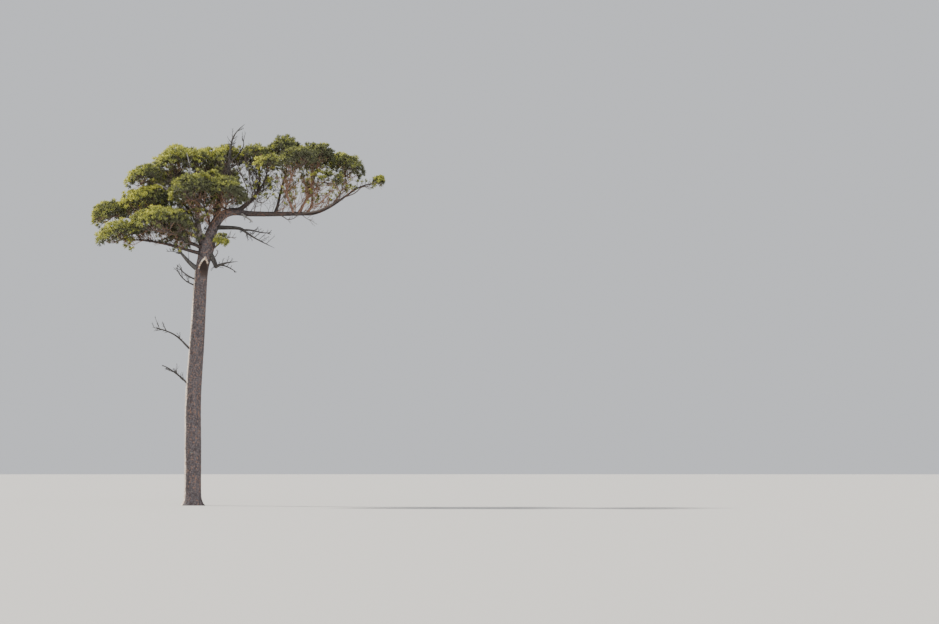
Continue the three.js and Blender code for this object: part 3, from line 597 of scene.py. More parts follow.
OLD, YOUNG = Tone
LIMB_REGIONS = {row.limb: row.region for row in MASSES}
LIMB_REGIONS |= {"arm_rise": CENTRE, "arm_run": RIGHT, "centre_leader": CENTRE}
TWIG_ROWS = (
    TwigRow("arm_rise", OLD, 28, (0.2, 0.85), 0.9, rise=1.1, leafy=0.0),
    TwigRow("arm_run", OLD, 10, (0, 0.45), 1, rise=1.4, ahead=0.4, leafy=0.06),
    TwigRow("arm_run", YOUNG, 26, (0.45, 1), 1.5, rise=1.3, ahead=0.7, leafy=0.03, light=0.45),
    TwigRow("arm_end", YOUNG, 12, (0.04, 0.6), 0.8, rise=1.2, ahead=0.7, leafy=0.05, light=0.6),
    TwigRow("arm_end", OLD, 7, (0.6, 0.96), 0.35, leafy=0.16, light=0.6),
    TwigRow("bough_right_inner", OLD, 44, (0.1, 1), 1.2, leafy=0.09),
    TwigRow("bough_right_lit", OLD, 12, (0.1, 1), 0.8, leafy=0.18, light=0.65),
    TwigRow("bough_right_crest", OLD, 18, (0.25, 1), 1, leafy=0.12, light=0.4),
    TwigRow("bough_right_front", YOUNG, 24, (0.3, 1), 0.9, leafy=0.08, light=0.4),
    TwigRow("bough_right_shoulder", YOUNG, 32, (0.2, 1), 1.1, leafy=0.05, light=0.4),
    TwigRow("bough_right_low", YOUNG, 20, (0.2, 1), 0.9, leafy=0.06, light=0.55),
    TwigRow("bough_right_back", OLD, 12, (0.3, 1), 1, leafy=0.16),
    TwigRow("bough_right_outer", YOUNG, 12, (0.2, 1), 0.75, leafy=0.14, light=0.5),
    TwigRow("centre_leader", OLD, 46, (0.1, 0.85), 1.15, leafy=0.16, light=0.35),
    TwigRow("left_leader", OLD, 60, (0.15, 0.85), 1.2, leafy=0.06, light=0.35),
    TwigRow("bough_top_centre", OLD, 12, (0.3, 1), 0.8, leafy=0.18),
    TwigRow("bough_front_left", YOUNG, 26, (0.2, 1), 1.2, leafy=0.16),
    TwigRow("bough_front_right", YOUNG, 18, (0.2, 1), 1, leafy=0.16, light=0.45),
    TwigRow("bough_back_centre", OLD, 22, (0.3, 1), 1.1, leafy=0.18, light=0.35),
    TwigRow("bough_upper_left", OLD, 14, (0.2, 1), 1, leafy=0.17, light=0.35),
    TwigRow("bough_upper_left_tip", OLD, 16, (0.2, 1), 1, leafy=0.15),
    TwigRow("bough_back_left", OLD, 24, (0.2, 1), 1, leafy=0.17, light=0.3),
    TwigRow("bough_left_shelf", OLD, 34, (0.15, 1), 1.05, leafy=0.17, light=0.35),
    TwigRow("bough_left_tip", YOUNG, 16, (0.1, 1), 0.9, leafy=0.12),
    TwigRow("bough_low_left_inner", OLD, 24, (0.15, 1), 0.9, rise=0.8, leafy=0.16, light=0.15),
    TwigRow("bough_low_left_inner", YOUNG, 10, (0.4, 1), 0.8, leafy=0.05),
    TwigRow("bough_low_left_outer", YOUNG, 20, (0.4, 1), 0.85, rise=0.9, leafy=0.06, light=0.2),
    TwigRow("bough_low_left_outer", OLD, 26, (0.2, 1), 0.95, rise=1, leafy=0.16, light=0.2),
    TwigRow("bough_back_low_left", OLD, 26, (0.2, 1), 1, leafy=0.17, light=0.3),
)


@dataclass(frozen=True)
class LoneTwig:
    """A single twig that stands out, by the places that it runs through, in metres."""

    region: Region
    tone: Tone
    radius: float
    places: tuple[Triple, ...]
    leafy: float = 0.0
    side: float = 0.32


LONE_TWIGS = (
    LoneTwig(CENTRE, OLD, 0.032, (
        (2.46, -0.2, 12.91), (2.34, -0.3, 13.41), (2.27, -0.35, 13.83), (2.21, -0.3, 14.25),
        (2.09, -0.2, 14.55),
    ), leafy=0.2, side=0.7),
    LoneTwig(CENTRE, OLD, 0.032, (
        (2.17, -0.2, 12.74), (2.2, -0.35, 13.2), (2.02, -0.45, 13.65), (1.88, -0.45, 14.0),
        (1.75, -0.4, 14.3),
    ), leafy=0.25, side=0.7),
    LoneTwig(CENTRE, OLD, 0.02, (
        (0.2, -1.5, 13.27), (0.4, -1.6, 13.43), (0.6, -1.65, 13.55), (0.8, -1.65, 13.61),
        (1.05, -1.6, 13.58),
    ), leafy=1.0, side=0.22),
    LoneTwig(LEFT, YOUNG, 0.02, (
        (-2.05, -0.95, 11.0), (-2.25, -1.08, 10.9), (-2.42, -1.16, 10.8), (-2.58, -1.22, 10.77),
        (-2.75, -1.26, 10.8),
    ), leafy=0.75),
    LoneTwig(RIGHT, YOUNG, 0.024, (
        (4.2, -0.2, 12.3), (4.22, -0.35, 12.57), (4.16, -0.5, 12.8), (4.11, -0.7, 13.02), (4.2, -0.9, 13.3),
    ), leafy=0.2),
    LoneTwig(RIGHT, OLD, 0.022, (
        (3.53, 0.0, 12.55), (3.72, -0.2, 12.8), (3.79, -0.3, 12.96), (3.9, -0.45, 13.25),
    ), leafy=0.2),
    LoneTwig(RIGHT, OLD, 0.02, (
        (2.5, -0.2, 12.9), (2.63, -0.3, 12.71), (2.83, -0.4, 12.67), (3.02, -0.4, 12.76),
        (3.09, -0.45, 12.9), (3.2, -0.5, 13.05),
    ), leafy=0.1),
    LoneTwig(RIGHT, OLD, 0.026, (
        (3.55, -0.15, 12.2), (3.77, -0.3, 12.05), (3.93, -0.35, 11.96), (4.18, -0.35, 12.03),
        (4.27, -0.35, 12.16), (4.35, -0.3, 12.32),
    )),
    LoneTwig(RIGHT, OLD, 0.018, (
        (4.47, -0.18, 12.22), (4.68, -0.3, 12.03), (4.91, -0.35, 11.92), (5.02, -0.4, 11.82),
    )),
    LoneTwig(CENTRE, OLD, 0.032, (
        (0.86, -0.22, 10.74), (0.97, -0.3, 10.92), (1.2, -0.38, 11.05), (1.4, -0.42, 11.17),
        (1.62, -0.45, 11.19),
    )),
    LoneTwig(CENTRE, OLD, 0.012, (
        (1.2, -0.38, 11.02), (1.12, -0.5, 10.98), (1.04, -0.56, 10.97), (0.97, -0.58, 10.98),
    ), leafy=1.0, side=0.12),
    LoneTwig(CENTRE, OLD, 0.012, (
        (1.2, -0.38, 11.02), (1.23, -0.5, 10.97), (1.26, -0.56, 10.95), (1.28, -0.58, 10.96),
    ), leafy=0.5, side=0.1),
    LoneTwig(CENTRE, OLD, 0.03, (
        (0.88, -0.22, 10.38), (0.93, -0.26, 10.46), (0.98, -0.28, 10.56), (0.97, -0.3, 10.62),
    ), side=0.1),
    LoneTwig(RIGHT, OLD, 0.04, (
        (4.5, -0.3, 12.26), (4.9, -0.42, 12.28), (5.26, -0.45, 12.38), (5.76, -0.5, 12.62),
        (6.05, -0.5, 12.86), (6.14, -0.45, 13.2), (6.27, -0.4, 13.6),
    ), leafy=0.1, side=0.45),
    LoneTwig(RIGHT, YOUNG, 0.03, (
        (4.75, -0.35, 12.3), (4.98, -0.5, 12.55), (5.35, -0.6, 12.72), (5.5, -0.7, 13.0),
        (5.82, -0.75, 13.2),
    ), leafy=0.12, side=0.5),
    LoneTwig(RIGHT, OLD, 0.03, (
        (6.3, -0.25, 12.95), (6.7, -0.38, 13.1), (7.0, -0.42, 13.35), (7.3, -0.4, 13.42),
        (7.55, -0.35, 13.6),
    ), side=0.35),
)


@dataclass(frozen=True)
class Seeds:
    """The first seeds of the streams that the limbs and masses draw from."""

    boughs: int = 1207
    dead_limbs: int = 1307
    masses: int = 2000
    mass_step: int = 100
    bark: int = 31
    shoots: int = 500
    side_twigs: int = 700
    dry_twigs: int = 900


SEEDS = Seeds()


# Meshes from bmesh operators and from arrays


def mesh_points(mesh: Mesh) -> Array:
    """Returns a mesh's vertices as rows of three."""
    flat = np.empty(3 * len(mesh.vertices), np.float32)
    mesh.vertices.foreach_get("co", flat)
    return flat.reshape(-1, 3)


def set_values(mesh: Mesh, name: str, values: Array) -> None:
    """Keeps one number, or one vector, for each vertex of a mesh.

    Args:
        mesh: the mesh.
        name: the attribute's name.
        values: one for each vertex.
    """
    if values.ndim == 2:
        layer = mesh.attributes.new(name, "FLOAT_VECTOR", "POINT")
        layer.data.foreach_set("vector", values.astype(np.float32).ravel())
    else:
        layer = mesh.attributes.new(name, "FLOAT", "POINT")
        layer.data.foreach_set("value", values.astype(np.float32))


def add_object(name: str, data: ID) -> Object:
    """Returns a new object of the scene with this mesh, lamp or lens."""
    thing = bpy.data.objects.new(name, data)
    bpy.context.scene.collection.objects.link(thing)
    return thing


def mesh_of(bm: BMesh, name: str) -> Mesh:
    """Returns a new mesh from a bmesh, which is freed."""
    mesh = bpy.data.meshes.new(name)
    bm.to_mesh(mesh)
    bm.free()
    return mesh


def add_piece(
    name: str, mesh: Mesh, material: Material, nodes: Iterable[str]
) -> None:
    """Adds a finished mesh as a piece that stands for some of the solids.

    Args:
        name: the piece's name.
        mesh: its mesh.
        material: its finish.
        nodes: the solids.
    """
    piece = add_object(name, mesh)
    mesh.materials.clear()
    mesh.materials.append(material)
    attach(piece, BODY)
    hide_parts(*nodes)
    log.info("%s: %d faces for %s", name, len(mesh.polygons), ", ".join(nodes))


@dataclass(frozen=True)
class BarkPattern:
    """Plates or cracks of bark, dealt out over a limb's unrolled surface."""

    width: float
    length: float
    depth: float
    seam: float = 0.22
    swell: float = 0.3
    waver: float = 0.35
    seed: int = 0
    spread: float = 0.7
    sways: tuple[Triple, Triple] = ((3, 5.1, 0), (2, -1.7, 1))
    drift: Pair = (4, 0.9)
    first_row: int = 4096
    primes: tuple[int, int, int, int] = (73856093, 19349663, 83492791, 2654435761)
    stirs: tuple[tuple[int, int], ...] = ((15, 2246822519), (13, 3266489917))

    def _scatter(self, column: Array, row: Array, salt: int) -> Array:
        """Returns a number from 0 to 1 for each plate, the same for the same plate."""
        by_column, by_row, by_seed, by_salt = self.primes
        mixed = column.astype(np.uint64) * by_column ^ row.astype(np.uint64) * by_row
        mixed = (mixed ^ np.uint64((self.seed * by_seed + salt * by_salt) & WORD)) & np.uint64(WORD)
        for shift, factor in self.stirs:
            mixed = ((mixed ^ (mixed >> np.uint64(shift))) * np.uint64(factor)) & np.uint64(WORD)
        return (mixed >> np.uint64(8)).astype(float) / ((WORD + 1) >> 8)

    def sample(self, angle: Array, along: Array, girth: float) -> tuple[Array, Array, Array]:
        """The relief at places on a limb.

        Args:
            angle: how far round each place is, in radians.
            along: how far along it is, in metres.
            girth: the limb's, in metres.

        Returns:
            How high each place stands, how far inside its plate it is from 0 to 1, and a
            number from 0 to 1 that is the same all over its plate.
        """
        columns = max(3, round(girth / self.width))
        up = along / self.length
        sway = sum(np.sin(a * angle + b * up + c * self.seed) for a, b, c in self.sways)
        u = angle / TURN * columns + 0.5 * self.waver * sway
        v = up + self.waver * np.sin(self.drift[0] * angle + self.drift[1] * up)
        margin = (1 - self.spread) / 2
        nearest = second = np.full(u.shape, np.inf)
        tint = np.zeros(u.shape)
        for step_v, step_u in product(range(-1, 2), range(-2, 3)):
            row = np.floor(v) + step_v
            column = np.floor(u) + step_u
            keys = np.mod(column, columns), row + self.first_row
            brick = 0.5 * np.mod(row, 2)
            at_u = column + brick + margin + self.spread * self._scatter(*keys, 1)
            at_v = row + margin + self.spread * self._scatter(*keys, 2)
            gap = np.hypot(u - at_u, v - at_v)
            closer = gap < nearest
            second = np.where(closer, nearest, np.minimum(second, gap))
            tint = np.where(closer, self._scatter(*keys, 3), tint)
            nearest = np.where(closer, gap, nearest)
        inside = np.clip((second - nearest) / self.seam, 0, 1)
        inside = inside * inside * (3 - 2 * inside)
        height = self.depth * (inside * (1 - self.swell + self.swell * tint) - 0.5)
        return height, inside, tint


def run_along(spots: Array) -> Array:
    """Returns how far along a path each of its places is."""
    return np.concatenate([[0.0], np.cumsum(np.linalg.norm(np.diff(spots, axis=0), axis=1))])


@dataclass
class Tube:
    """A limb's skin: a grid rolled round a centre-line, with relief, closed at its ends."""

    line: Line
    radius: Callable[[Array], Array]
    bark: BarkPattern
    cell: float = 0.02
    least_sides: int = 9
    least_rings: int = 6
    level: bool = False
    extra: Callable[[Array, Array, Array], Array] | None = None
    marks: Callable[[Array, Array], dict[str, Array]] | None = None

    def mesh(self, name: str) -> Mesh:
        """Builds the skin.

        Args:
            name: the mesh's name.

        Returns:
            A closed mesh with the attributes `straight`, `plate` and `groove`.
        """
        length = run_along(self.line.at(np.linspace(0, 1, 65)))[-1]
        girth = TURN * float(np.mean(self.radius(np.linspace(0, 1, 33))))
        sides = max(self.least_sides, round(girth / self.cell))
        rings = max(self.least_rings, round(length / max(self.cell, girth / sides)))

        ts = np.linspace(0, 1, rings + 1)
        centres = self.line.at(ts)
        run = run_along(centres)
        heading = [UP if self.level else heading_at(self.line, t) for t in ts]
        across = [across_from(spare_axis(heading[0], 0.9), heading[0])]
        for direction in heading[1:]:
            across.append(across_from(across[-1], direction))
        over = np.cross(across, heading)

        bm = bmesh.new()
        bmesh.ops.create_grid(bm, x_segments=sides, y_segments=rings, size=0.5)
        mesh = bpy.data.meshes.new(name)
        bm.to_mesh(mesh)
        flat = mesh_points(mesh).astype(float)
        angle = TURN * (flat[:, 0] + 0.5)
        ring = np.rint((flat[:, 1] + 0.5) * rings).astype(int)

        height, inside, tint = self.bark.sample(angle, run[ring], girth)
        plain = self.radius(ts)[ring]
        reach = plain + height * np.minimum(1, plain / (2 * self.bark.depth))
        if self.extra:
            reach = reach + self.extra(centres[ring], plain, angle)
        points = centres[ring] + reach[:, None] * ring_round(np.array(across)[ring], over[ring], angle)
        mesh.vertices.foreach_set("co", points.astype(np.float32).ravel())

        straight = np.stack([plain * np.cos(angle), plain * np.sin(angle), run[ring]], axis=1)
        marks = {"straight": straight, "plate": tint, "groove": inside}
        if self.marks:
            marks |= self.marks(points, angle)
        for mark, values in marks.items():
            set_values(mesh, mark, values)

        bm.clear()
        bm.from_mesh(mesh)
        seam = [vert for vert in bm.verts if vert.is_boundary]
        bmesh.ops.remove_doubles(bm, verts=seam, dist=1e-6)
        rims = [edge for edge in bm.edges if edge.is_boundary]
        bmesh.ops.holes_fill(bm, edges=rims, sides=0)
        bmesh.ops.recalc_face_normals(bm, faces=bm.faces)
        for face in bm.faces:
            face.smooth = len(face.verts) == 4
        bm.to_mesh(mesh)
        bm.free()
        return mesh


def join_meshes(name: str, meshes: list[Mesh]) -> Mesh:
    """Joins meshes into one and removes them.

    Args:
        name: the new mesh's name.
        meshes: the meshes.

    Returns:
        The joined mesh.
    """
    bm = bmesh.new()
    for mesh in meshes:
        bm.from_mesh(mesh)
        bpy.data.meshes.remove(mesh)
    return mesh_of(bm, name)


@dataclass
class Bundle:
    """Many small things of one kind, kept as arrays until they become one mesh."""

    points: list[Array] = field(default_factory=list)
    faces: list[Array] = field(default_factory=list)
    count: int = 0

    def add(self, points: Array, faces: Array) -> None:
        """Adds points and the triangles between them, counted from 0."""
        self.points.append(points.reshape(-1, 3))
        self.faces.append(faces.reshape(-1, 3) + self.count)
        self.count += len(self.points[-1])

    def mesh(self, name: str) -> Mesh:
        """Returns everything that was added as one mesh."""
        mesh = bpy.data.meshes.new(name)
        mesh.from_pydata(np.concatenate(self.points), [], np.concatenate(self.faces))
        return mesh


def add_strands(bundle: Bundle, paths: Array, radii: Array, sides: int = 3) -> None:
    """Adds thin closed tubes along many paths at once.

    Args:
        bundle: what they are added to.
        paths: points, as (paths, points, 3).
        radii: as (paths, points).
        sides: how many each tube has.
    """
    count, stations, _ = paths.shape
    along = unit(np.gradient(paths, axis=1))
    across = across_from(spare_axis(along[:, :1]), along)
    over = np.cross(along, across)
    ring = ring_round(across[:, :, None], over[:, :, None], TURN * np.arange(sides) / sides)
    points = paths[:, :, None] + radii[:, :, None, None] * ring
    faces = []
    for station in range(stations - 1):
        for k in range(sides):
            low, low_next = station * sides + k, station * sides + (k + 1) % sides
            faces += [[low, low_next, low_next + sides], [low, low_next + sides, low + sides]]
    last = (stations - 1) * sides
    for k in range(1, sides - 1):
        faces += [[0, k + 1, k], [last, last + k, last + k + 1]]
    starts = np.arange(count)[:, None, None] * stations * sides
    bundle.add(points, np.array(faces)[None] + starts)


def add_spikes(bundle: Bundle, feet: Array, tips: Array, radius: float) -> None:
    """Adds thin three-sided spikes.

    Args:
        bundle: what they are added to.
        feet: their starts.
        tips: their points.
        radius: at the foot.
    """
    across, over = frame_round(unit(tips - feet))
    ring = ring_round(across[:, None], over[:, None], TURN * np.arange(3) / 3)
    points = np.concatenate([feet[:, None] + radius * ring, tips[:, None]], axis=1)
    faces = np.array([[0, 2, 1], [0, 1, 3], [1, 2, 3], [2, 0, 3]])
    bundle.add(points, faces[None] + 4 * np.arange(len(feet))[:, None, None])


# Finishes


@dataclass
class Sheet:
    """A short way to write the nodes of a material or a group."""

    tree: NodeTree

    def add(self, kind: str, **settings: object) -> Node:
        """Adds a node.

        Args:
            kind: the node's type.
            **settings: its properties.

        Returns:
            The node.
        """
        node = self.tree.nodes.new(kind)
        for name, value in settings.items():
            setattr(node, name, value)
        return node

    def put(self, value: object, socket: NodeSocket) -> None:
        """Links a socket to what feeds it, or gives it a plain value."""
        if isinstance(value, NodeSocket):
            self.tree.links.new(value, socket)
        else:
            socket.default_value = value

    def feed(self, node: Node, **inputs: object) -> Node:
        """Sets or links a node's inputs, with a space in a name written as _.

        Args:
            node: the node.
            **inputs: a plain value, or the socket that feeds it.

        Returns:
            The same node.
        """
        for name, value in inputs.items():
            self.put(value, node.inputs[name.replace("_", " ")])
        return node

    def mark(self, name: str) -> NodeSocket:
        """Returns the socket of a number that the mesh keeps."""
        return self.add("ShaderNodeAttribute", attribute_name=name).outputs["Fac"]

    def math(self, operation: str, *values: object) -> NodeSocket:
        """Works out a number.

        Args:
            operation: what is done.
            *values: plain numbers, or the sockets that give them.

        Returns:
            The result's socket.
        """
        node = self.add("ShaderNodeMath", operation=operation)
        for socket, value in zip(node.inputs, values):
            self.put(value, socket)
        return node.outputs[0]

    def mix(self, share: NodeSocket, low: object, high: object) -> NodeSocket:
        """Mixes two colours.

        Args:
            share: how much of the second one shows.
            low: the first colour or its socket.
            high: the second one.

        Returns:
            The mixed colour's socket.
        """
        node = self.add("ShaderNodeMix", data_type="RGBA")
        self.put(share, node.inputs["Factor"])
        colour_inputs = [socket for socket in node.inputs if socket.type == "RGBA"]
        for colour, socket in zip((low, high), colour_inputs):
            self.put((*colour, 1.0) if isinstance(colour, tuple) else colour, socket)
        return next(socket for socket in node.outputs if socket.type == "RGBA")

    def ramp(
        self, value: NodeSocket, places: tuple[float, ...], colours: Colours
    ) -> NodeSocket:
        """Turns a value into a colour.

        Args:
            value: the value, from 0 to 1.
            places: where the colours stand, from 0 to 1.
            colours: the colours.

        Returns:
            The colour's socket.
        """
        node = self.add("ShaderNodeValToRGB")
        elements = node.color_ramp.elements
        while len(elements) < len(places):
            elements.new(0.5)
        for element, place, colour in zip(elements, places, colours):
            element.position = place
            element.color = (*colour, 1.0)
        self.put(value, node.inputs["Fac"])
        return node.outputs["Color"]

    def span(
        self, value: NodeSocket, source: tuple[object, object], target: Pair = (0.0, 1.0)
    ) -> NodeSocket:
        """Returns the socket of a value moved from one range to another."""
        node = self.add("ShaderNodeMapRange", clamp=True)
        self.feed(node, Value=value, From_Min=source[0], From_Max=source[1])
        return self.feed(node, To_Min=target[0], To_Max=target[1]).outputs["Result"]


def new_group(
    name: str, inputs: list[tuple[str, str]], outputs: list[tuple[str, str]]
) -> tuple[NodeTree, Sheet, Node, Node]:
    """Starts a shader node group.

    Args:
        name: the group's name.
        inputs: names and socket types.
        outputs: names and socket types.

    Returns:
        The group, its sheet, and its input and output nodes.
    """
    group = bpy.data.node_groups.new(name, "ShaderNodeTree")
    for label, kind in inputs:
        group.interface.new_socket(label, in_out="INPUT", socket_type=kind)
    for label, kind in outputs:
        group.interface.new_socket(label, in_out="OUTPUT", socket_type=kind)
    sheet = Sheet(group)
    return group, sheet, sheet.add("NodeGroupInput"), sheet.add("NodeGroupOutput")


FLOAT, VECTOR = "NodeSocketFloat", "NodeSocketVector"


@dataclass
class SharedEffects:
    """The effects that several barks share, each a group that is built once."""

    grain_detail: float = 4.0
    grain_roughness: float = 0.65
    grain_share: float = 0.5
    crust_detail: float = 6.0
    crust_roughness: float = 0.7
    crust_level: float = 0.72
    crust_drop: float = 0.34
    crust_edge: float = 0.07

    def __post_init__(self) -> None:
        """Builds the groups."""
        self.flakes = self._flakes()
        self.crust = self._crust()

    def _flakes(self) -> NodeTree:
        """Returns a group that gives small flakes, drawn out along the grain."""
        group, sheet, source, target = new_group(
            "small_flakes",
            [("Vector", VECTOR), ("Scale", FLOAT), ("Drawn Out", FLOAT)],
            [("Tint", FLOAT), ("Height", FLOAT)],
        )
        stretch = sheet.add("ShaderNodeCombineXYZ")
        sheet.feed(stretch, X=1.0, Y=1.0, Z=sheet.math("DIVIDE", 1.0, source.outputs["Drawn Out"]))
        drawn = sheet.add("ShaderNodeVectorMath", operation="MULTIPLY")
        sheet.put(source.outputs["Vector"], drawn.inputs[0])
        sheet.put(stretch.outputs[0], drawn.inputs[1])
        where = {"Vector": drawn.outputs[0], "Scale": source.outputs["Scale"]}
        cells = sheet.feed(sheet.add("ShaderNodeTexVoronoi"), **where)
        grain = sheet.add("ShaderNodeTexNoise")
        sheet.feed(grain, **where, Detail=self.grain_detail, Roughness=self.grain_roughness)
        split = sheet.feed(sheet.add("ShaderNodeSeparateColor"), Color=cells.outputs["Color"])
        by_grain = sheet.math("MULTIPLY", grain.outputs["Fac"], self.grain_share)
        tint = sheet.math("MULTIPLY_ADD", split.outputs[0], 1 - self.grain_share, by_grain)
        height = sheet.math("SUBTRACT", grain.outputs["Fac"], cells.outputs["Distance"])
        sheet.feed(target, Tint=tint, Height=height)
        return group

    def _crust(self) -> NodeTree:
        """Returns a group that gives a mask of lichen patches."""
        group, sheet, source, target = new_group(
            "lichen_crust",
            [("Vector", VECTOR), ("Scale", FLOAT), ("Amount", FLOAT)],
            [("Mask", FLOAT)],
        )
        patches = sheet.add("ShaderNodeTexNoise")
        sheet.feed(patches, Vector=source.outputs["Vector"], Scale=source.outputs["Scale"])
        sheet.feed(patches, Detail=self.crust_detail, Roughness=self.crust_roughness)
        drop = sheet.math("MULTIPLY", source.outputs["Amount"], self.crust_drop)
        least = sheet.math("SUBTRACT", self.crust_level, drop)
        most = sheet.math("ADD", least, self.crust_edge)
        sheet.feed(target, Mask=sheet.span(patches.outputs["Fac"], (least, most)))
        return group

    def grain(self, sheet: Sheet, scale: float, drawn_out: float) -> Node:
        """Returns the small flakes, placed on a limb's unrolled surface."""
        straight = sheet.add("ShaderNodeAttribute", attribute_name="straight").outputs["Vector"]
        flakes = sheet.add("ShaderNodeGroup", node_tree=self.flakes)
        return sheet.feed(flakes, Vector=straight, Scale=scale, Drawn_Out=drawn_out)

    def crusted(
        self, sheet: Sheet, colour: NodeSocket, lichen: Colour, scale: float, amount: float
    ) -> NodeSocket:
        """Puts patches of lichen on a colour.

        Args:
            sheet: the material's sheet.
            colour: the colour's socket.
            lichen: the lichen's colour.
            scale: how small the patches are.
            amount: how many there are, from 0 to 1.

        Returns:
            The new colour's socket.
        """
        crust = sheet.add("ShaderNodeGroup", node_tree=self.crust)
        places = sheet.add("ShaderNodeTexCoord").outputs["Object"]
        sheet.feed(crust, Vector=places, Scale=scale, Amount=amount)
        return sheet.mix(crust.outputs["Mask"], colour, lichen)


def new_material(name: str, specular: float) -> tuple[Material, Sheet, Node]:
    """Starts a material.

    Args:
        name: the material's name.
        specular: its highlights' strength.

    Returns:
        The material, its sheet and its Principled node.
    """
    material = bpy.data.materials.new(name)
    material.use_nodes = True
    shader = material.node_tree.nodes["Principled BSDF"]
    sheet = Sheet(material.node_tree)
    return material, sheet, sheet.feed(shader, Specular_IOR_Level=specular)


@dataclass(frozen=True)
class Relief:
    """How the small flakes of a bark or wood show: their size, bumps and roughness."""

    scale: float
    drawn_out: float
    bump: float
    depth: float
    rough: Pair
    specular: float = 0.25
    tints: Pair = (0.2, 0.8)

    def finish(self, sheet: Sheet, shader: Node, flakes: Node) -> None:
        """Gives a shader its roughness and its bumps.

        Args:
            sheet: the material's sheet.
            shader: its Principled node.
            flakes: its node of small flakes.
        """
        bumps = sheet.add("ShaderNodeBump")
        sheet.feed(bumps, Strength=self.bump, Distance=self.depth, Height=flakes.outputs["Height"])
        rough = sheet.span(flakes.outputs["Tint"], self.tints, self.rough)
        sheet.feed(shader, Roughness=rough, Normal=bumps.outputs["Normal"])


@dataclass(frozen=True)
class ScarsAndPaintedLight:
    """How the socket's lip of broken wood with its painted highlight, the painted shade in its
    recess, the painted shadow below it and the painted sunlight on the bark look, with their steps.

    The painted sunlight ends plate by plate, and reaches furthest over the pale plates.
    """

    # The lip's colours: partly bare broken wood, partly a painted highlight.
    torn: Colours = ((0.34, 0.2, 0.12), (0.8, 0.69, 0.56))
    torn_stops: Pair = (0.35, 0.55)
    # Painted shade in the socket's recess and in the dark spot at the fork.
    hollow: Colour = (0.03, 0.02, 0.016)
    # A painted shadow below the socket.
    stain: Colour = (0.05, 0.034, 0.029)
    # Painted sunlight on the trunk's sunward side: its colours and steps.
    bleached: Colours = ((0.3, 0.18, 0.11), (0.6, 0.53, 0.465))
    bleached_stops: Pair = (0.32, 0.48)
    painted_sunlit_reach: float = 2.0
    painted_sunlit_edge: Pair = (1.15, 1.35)


@dataclass(frozen=True)
class BarkFinish:
    """Plated bark: tinted plates, dark grooves, fine flakes and some lichen.

    A limb with older plates has them where its attribute `old` is 1: partly real older bark,
    partly painted light that lifts a shaded part.
    """

    name: str
    groove: Colour
    plates: Colours
    lichen: Colour
    lichen_amount: float = 0.3
    relief: Relief = Relief(34.0, 2.0, 0.6, 0.012, (0.82, 0.97))
    scars_and_painted_light: ScarsAndPaintedLight | None = None
    old_and_lifted_plates: Colours | None = None
    lichen_scale: float = 7.0
    stops: tuple[float, ...] = (0.15, 0.4, 0.6, 0.85)
    plate_share: float = 0.3
    flake_share: float = 0.75
    groove_edge: Pair = (0.0, 0.8)

    def build(self, effects: SharedEffects) -> Material:
        """Returns the material, made with the shared effects."""
        material, sheet, shader = new_material(self.name, self.relief.specular)
        flakes = effects.grain(sheet, self.relief.scale, self.relief.drawn_out)
        by_flake = sheet.math("MULTIPLY", flakes.outputs["Tint"], self.flake_share)
        tone = sheet.math("MULTIPLY_ADD", sheet.mark("plate"), self.plate_share, by_flake)
        colour = sheet.ramp(tone, self.stops, self.plates)
        # Older plates: partly older bark, partly painted light that lifts a shaded part of the limb.
        if self.old_and_lifted_plates:
            old = sheet.ramp(tone, self.stops, self.old_and_lifted_plates)
            colour = sheet.mix(sheet.mark("old"), colour, old)
        colour = effects.crusted(sheet, colour, self.lichen, self.lichen_scale, self.lichen_amount)
        scars_and_painted_light = self.scars_and_painted_light
        if scars_and_painted_light:
            # Painted sunlight: pale plates along the trunk's sunward strip.
            by_plate = sheet.math("MULTIPLY_ADD", sheet.mark("bleached"), scars_and_painted_light.painted_sunlit_reach, tone)
            painted_sun_side = sheet.ramp(tone, scars_and_painted_light.bleached_stops, scars_and_painted_light.bleached)
            colour = sheet.mix(sheet.span(by_plate, scars_and_painted_light.painted_sunlit_edge), colour, painted_sun_side)
        colour = sheet.mix(sheet.span(sheet.mark("groove"), self.groove_edge), self.groove, colour)
        if scars_and_painted_light:
            # Over it go the painted shadow, the broken lip with its painted highlight, and the painted
            # shade.
            torn_and_sunlit_colour = sheet.ramp(flakes.outputs["Tint"], scars_and_painted_light.torn_stops, scars_and_painted_light.torn)
            for mark, look in (("stain", scars_and_painted_light.stain), ("torn", torn_and_sunlit_colour), ("hollow", scars_and_painted_light.hollow)):
                colour = sheet.mix(sheet.mark(mark), colour, look)
        sheet.feed(shader, Base_Color=colour)
        self.relief.finish(sheet, shader, flakes)
        return material


@dataclass(frozen=True)
class DryWoodFinish:
    """Weathered dead wood: a silver-grey grain with darker cracks and lichen."""

    name: str
    crack: Colour
    grain: Colours
    lichen: Colour
    lichen_amount: float
    relief: Relief = Relief(90.0, 9.0, 0.5, 0.006, (0.75, 0.92))
    lichen_scale: float = 11.0
    stops: Triple = (0.25, 0.5, 0.75)
    crack_edge: Pair = (0.0, 0.7)

    def build(self, effects: SharedEffects) -> Material:
        """Returns the material, made with the shared effects."""
        material, sheet, shader = new_material(self.name, self.relief.specular)
        fibres = effects.grain(sheet, self.relief.scale, self.relief.drawn_out)
        colour = sheet.ramp(fibres.outputs["Tint"], self.stops, self.grain)
        colour = sheet.mix(sheet.span(sheet.mark("groove"), self.crack_edge), self.crack, colour)
        colour = effects.crusted(sheet, colour, self.lichen, self.lichen_scale, self.lichen_amount)
        sheet.feed(shader, Base_Color=colour)
        self.relief.finish(sheet, shader, fibres)
        return material


@dataclass(frozen=True)
class PlainFinish:
    """One plain colour, for the thousands of small things that are dealt several of them."""

    name: str
    colour: Colour
    roughness: float
    specular: float

    def build(self) -> Material:
        """Returns the material."""
        material, sheet, shader = new_material(self.name, self.specular)
        sheet.feed(shader, Base_Color=(*self.colour, 1.0), Roughness=self.roughness)
        return material


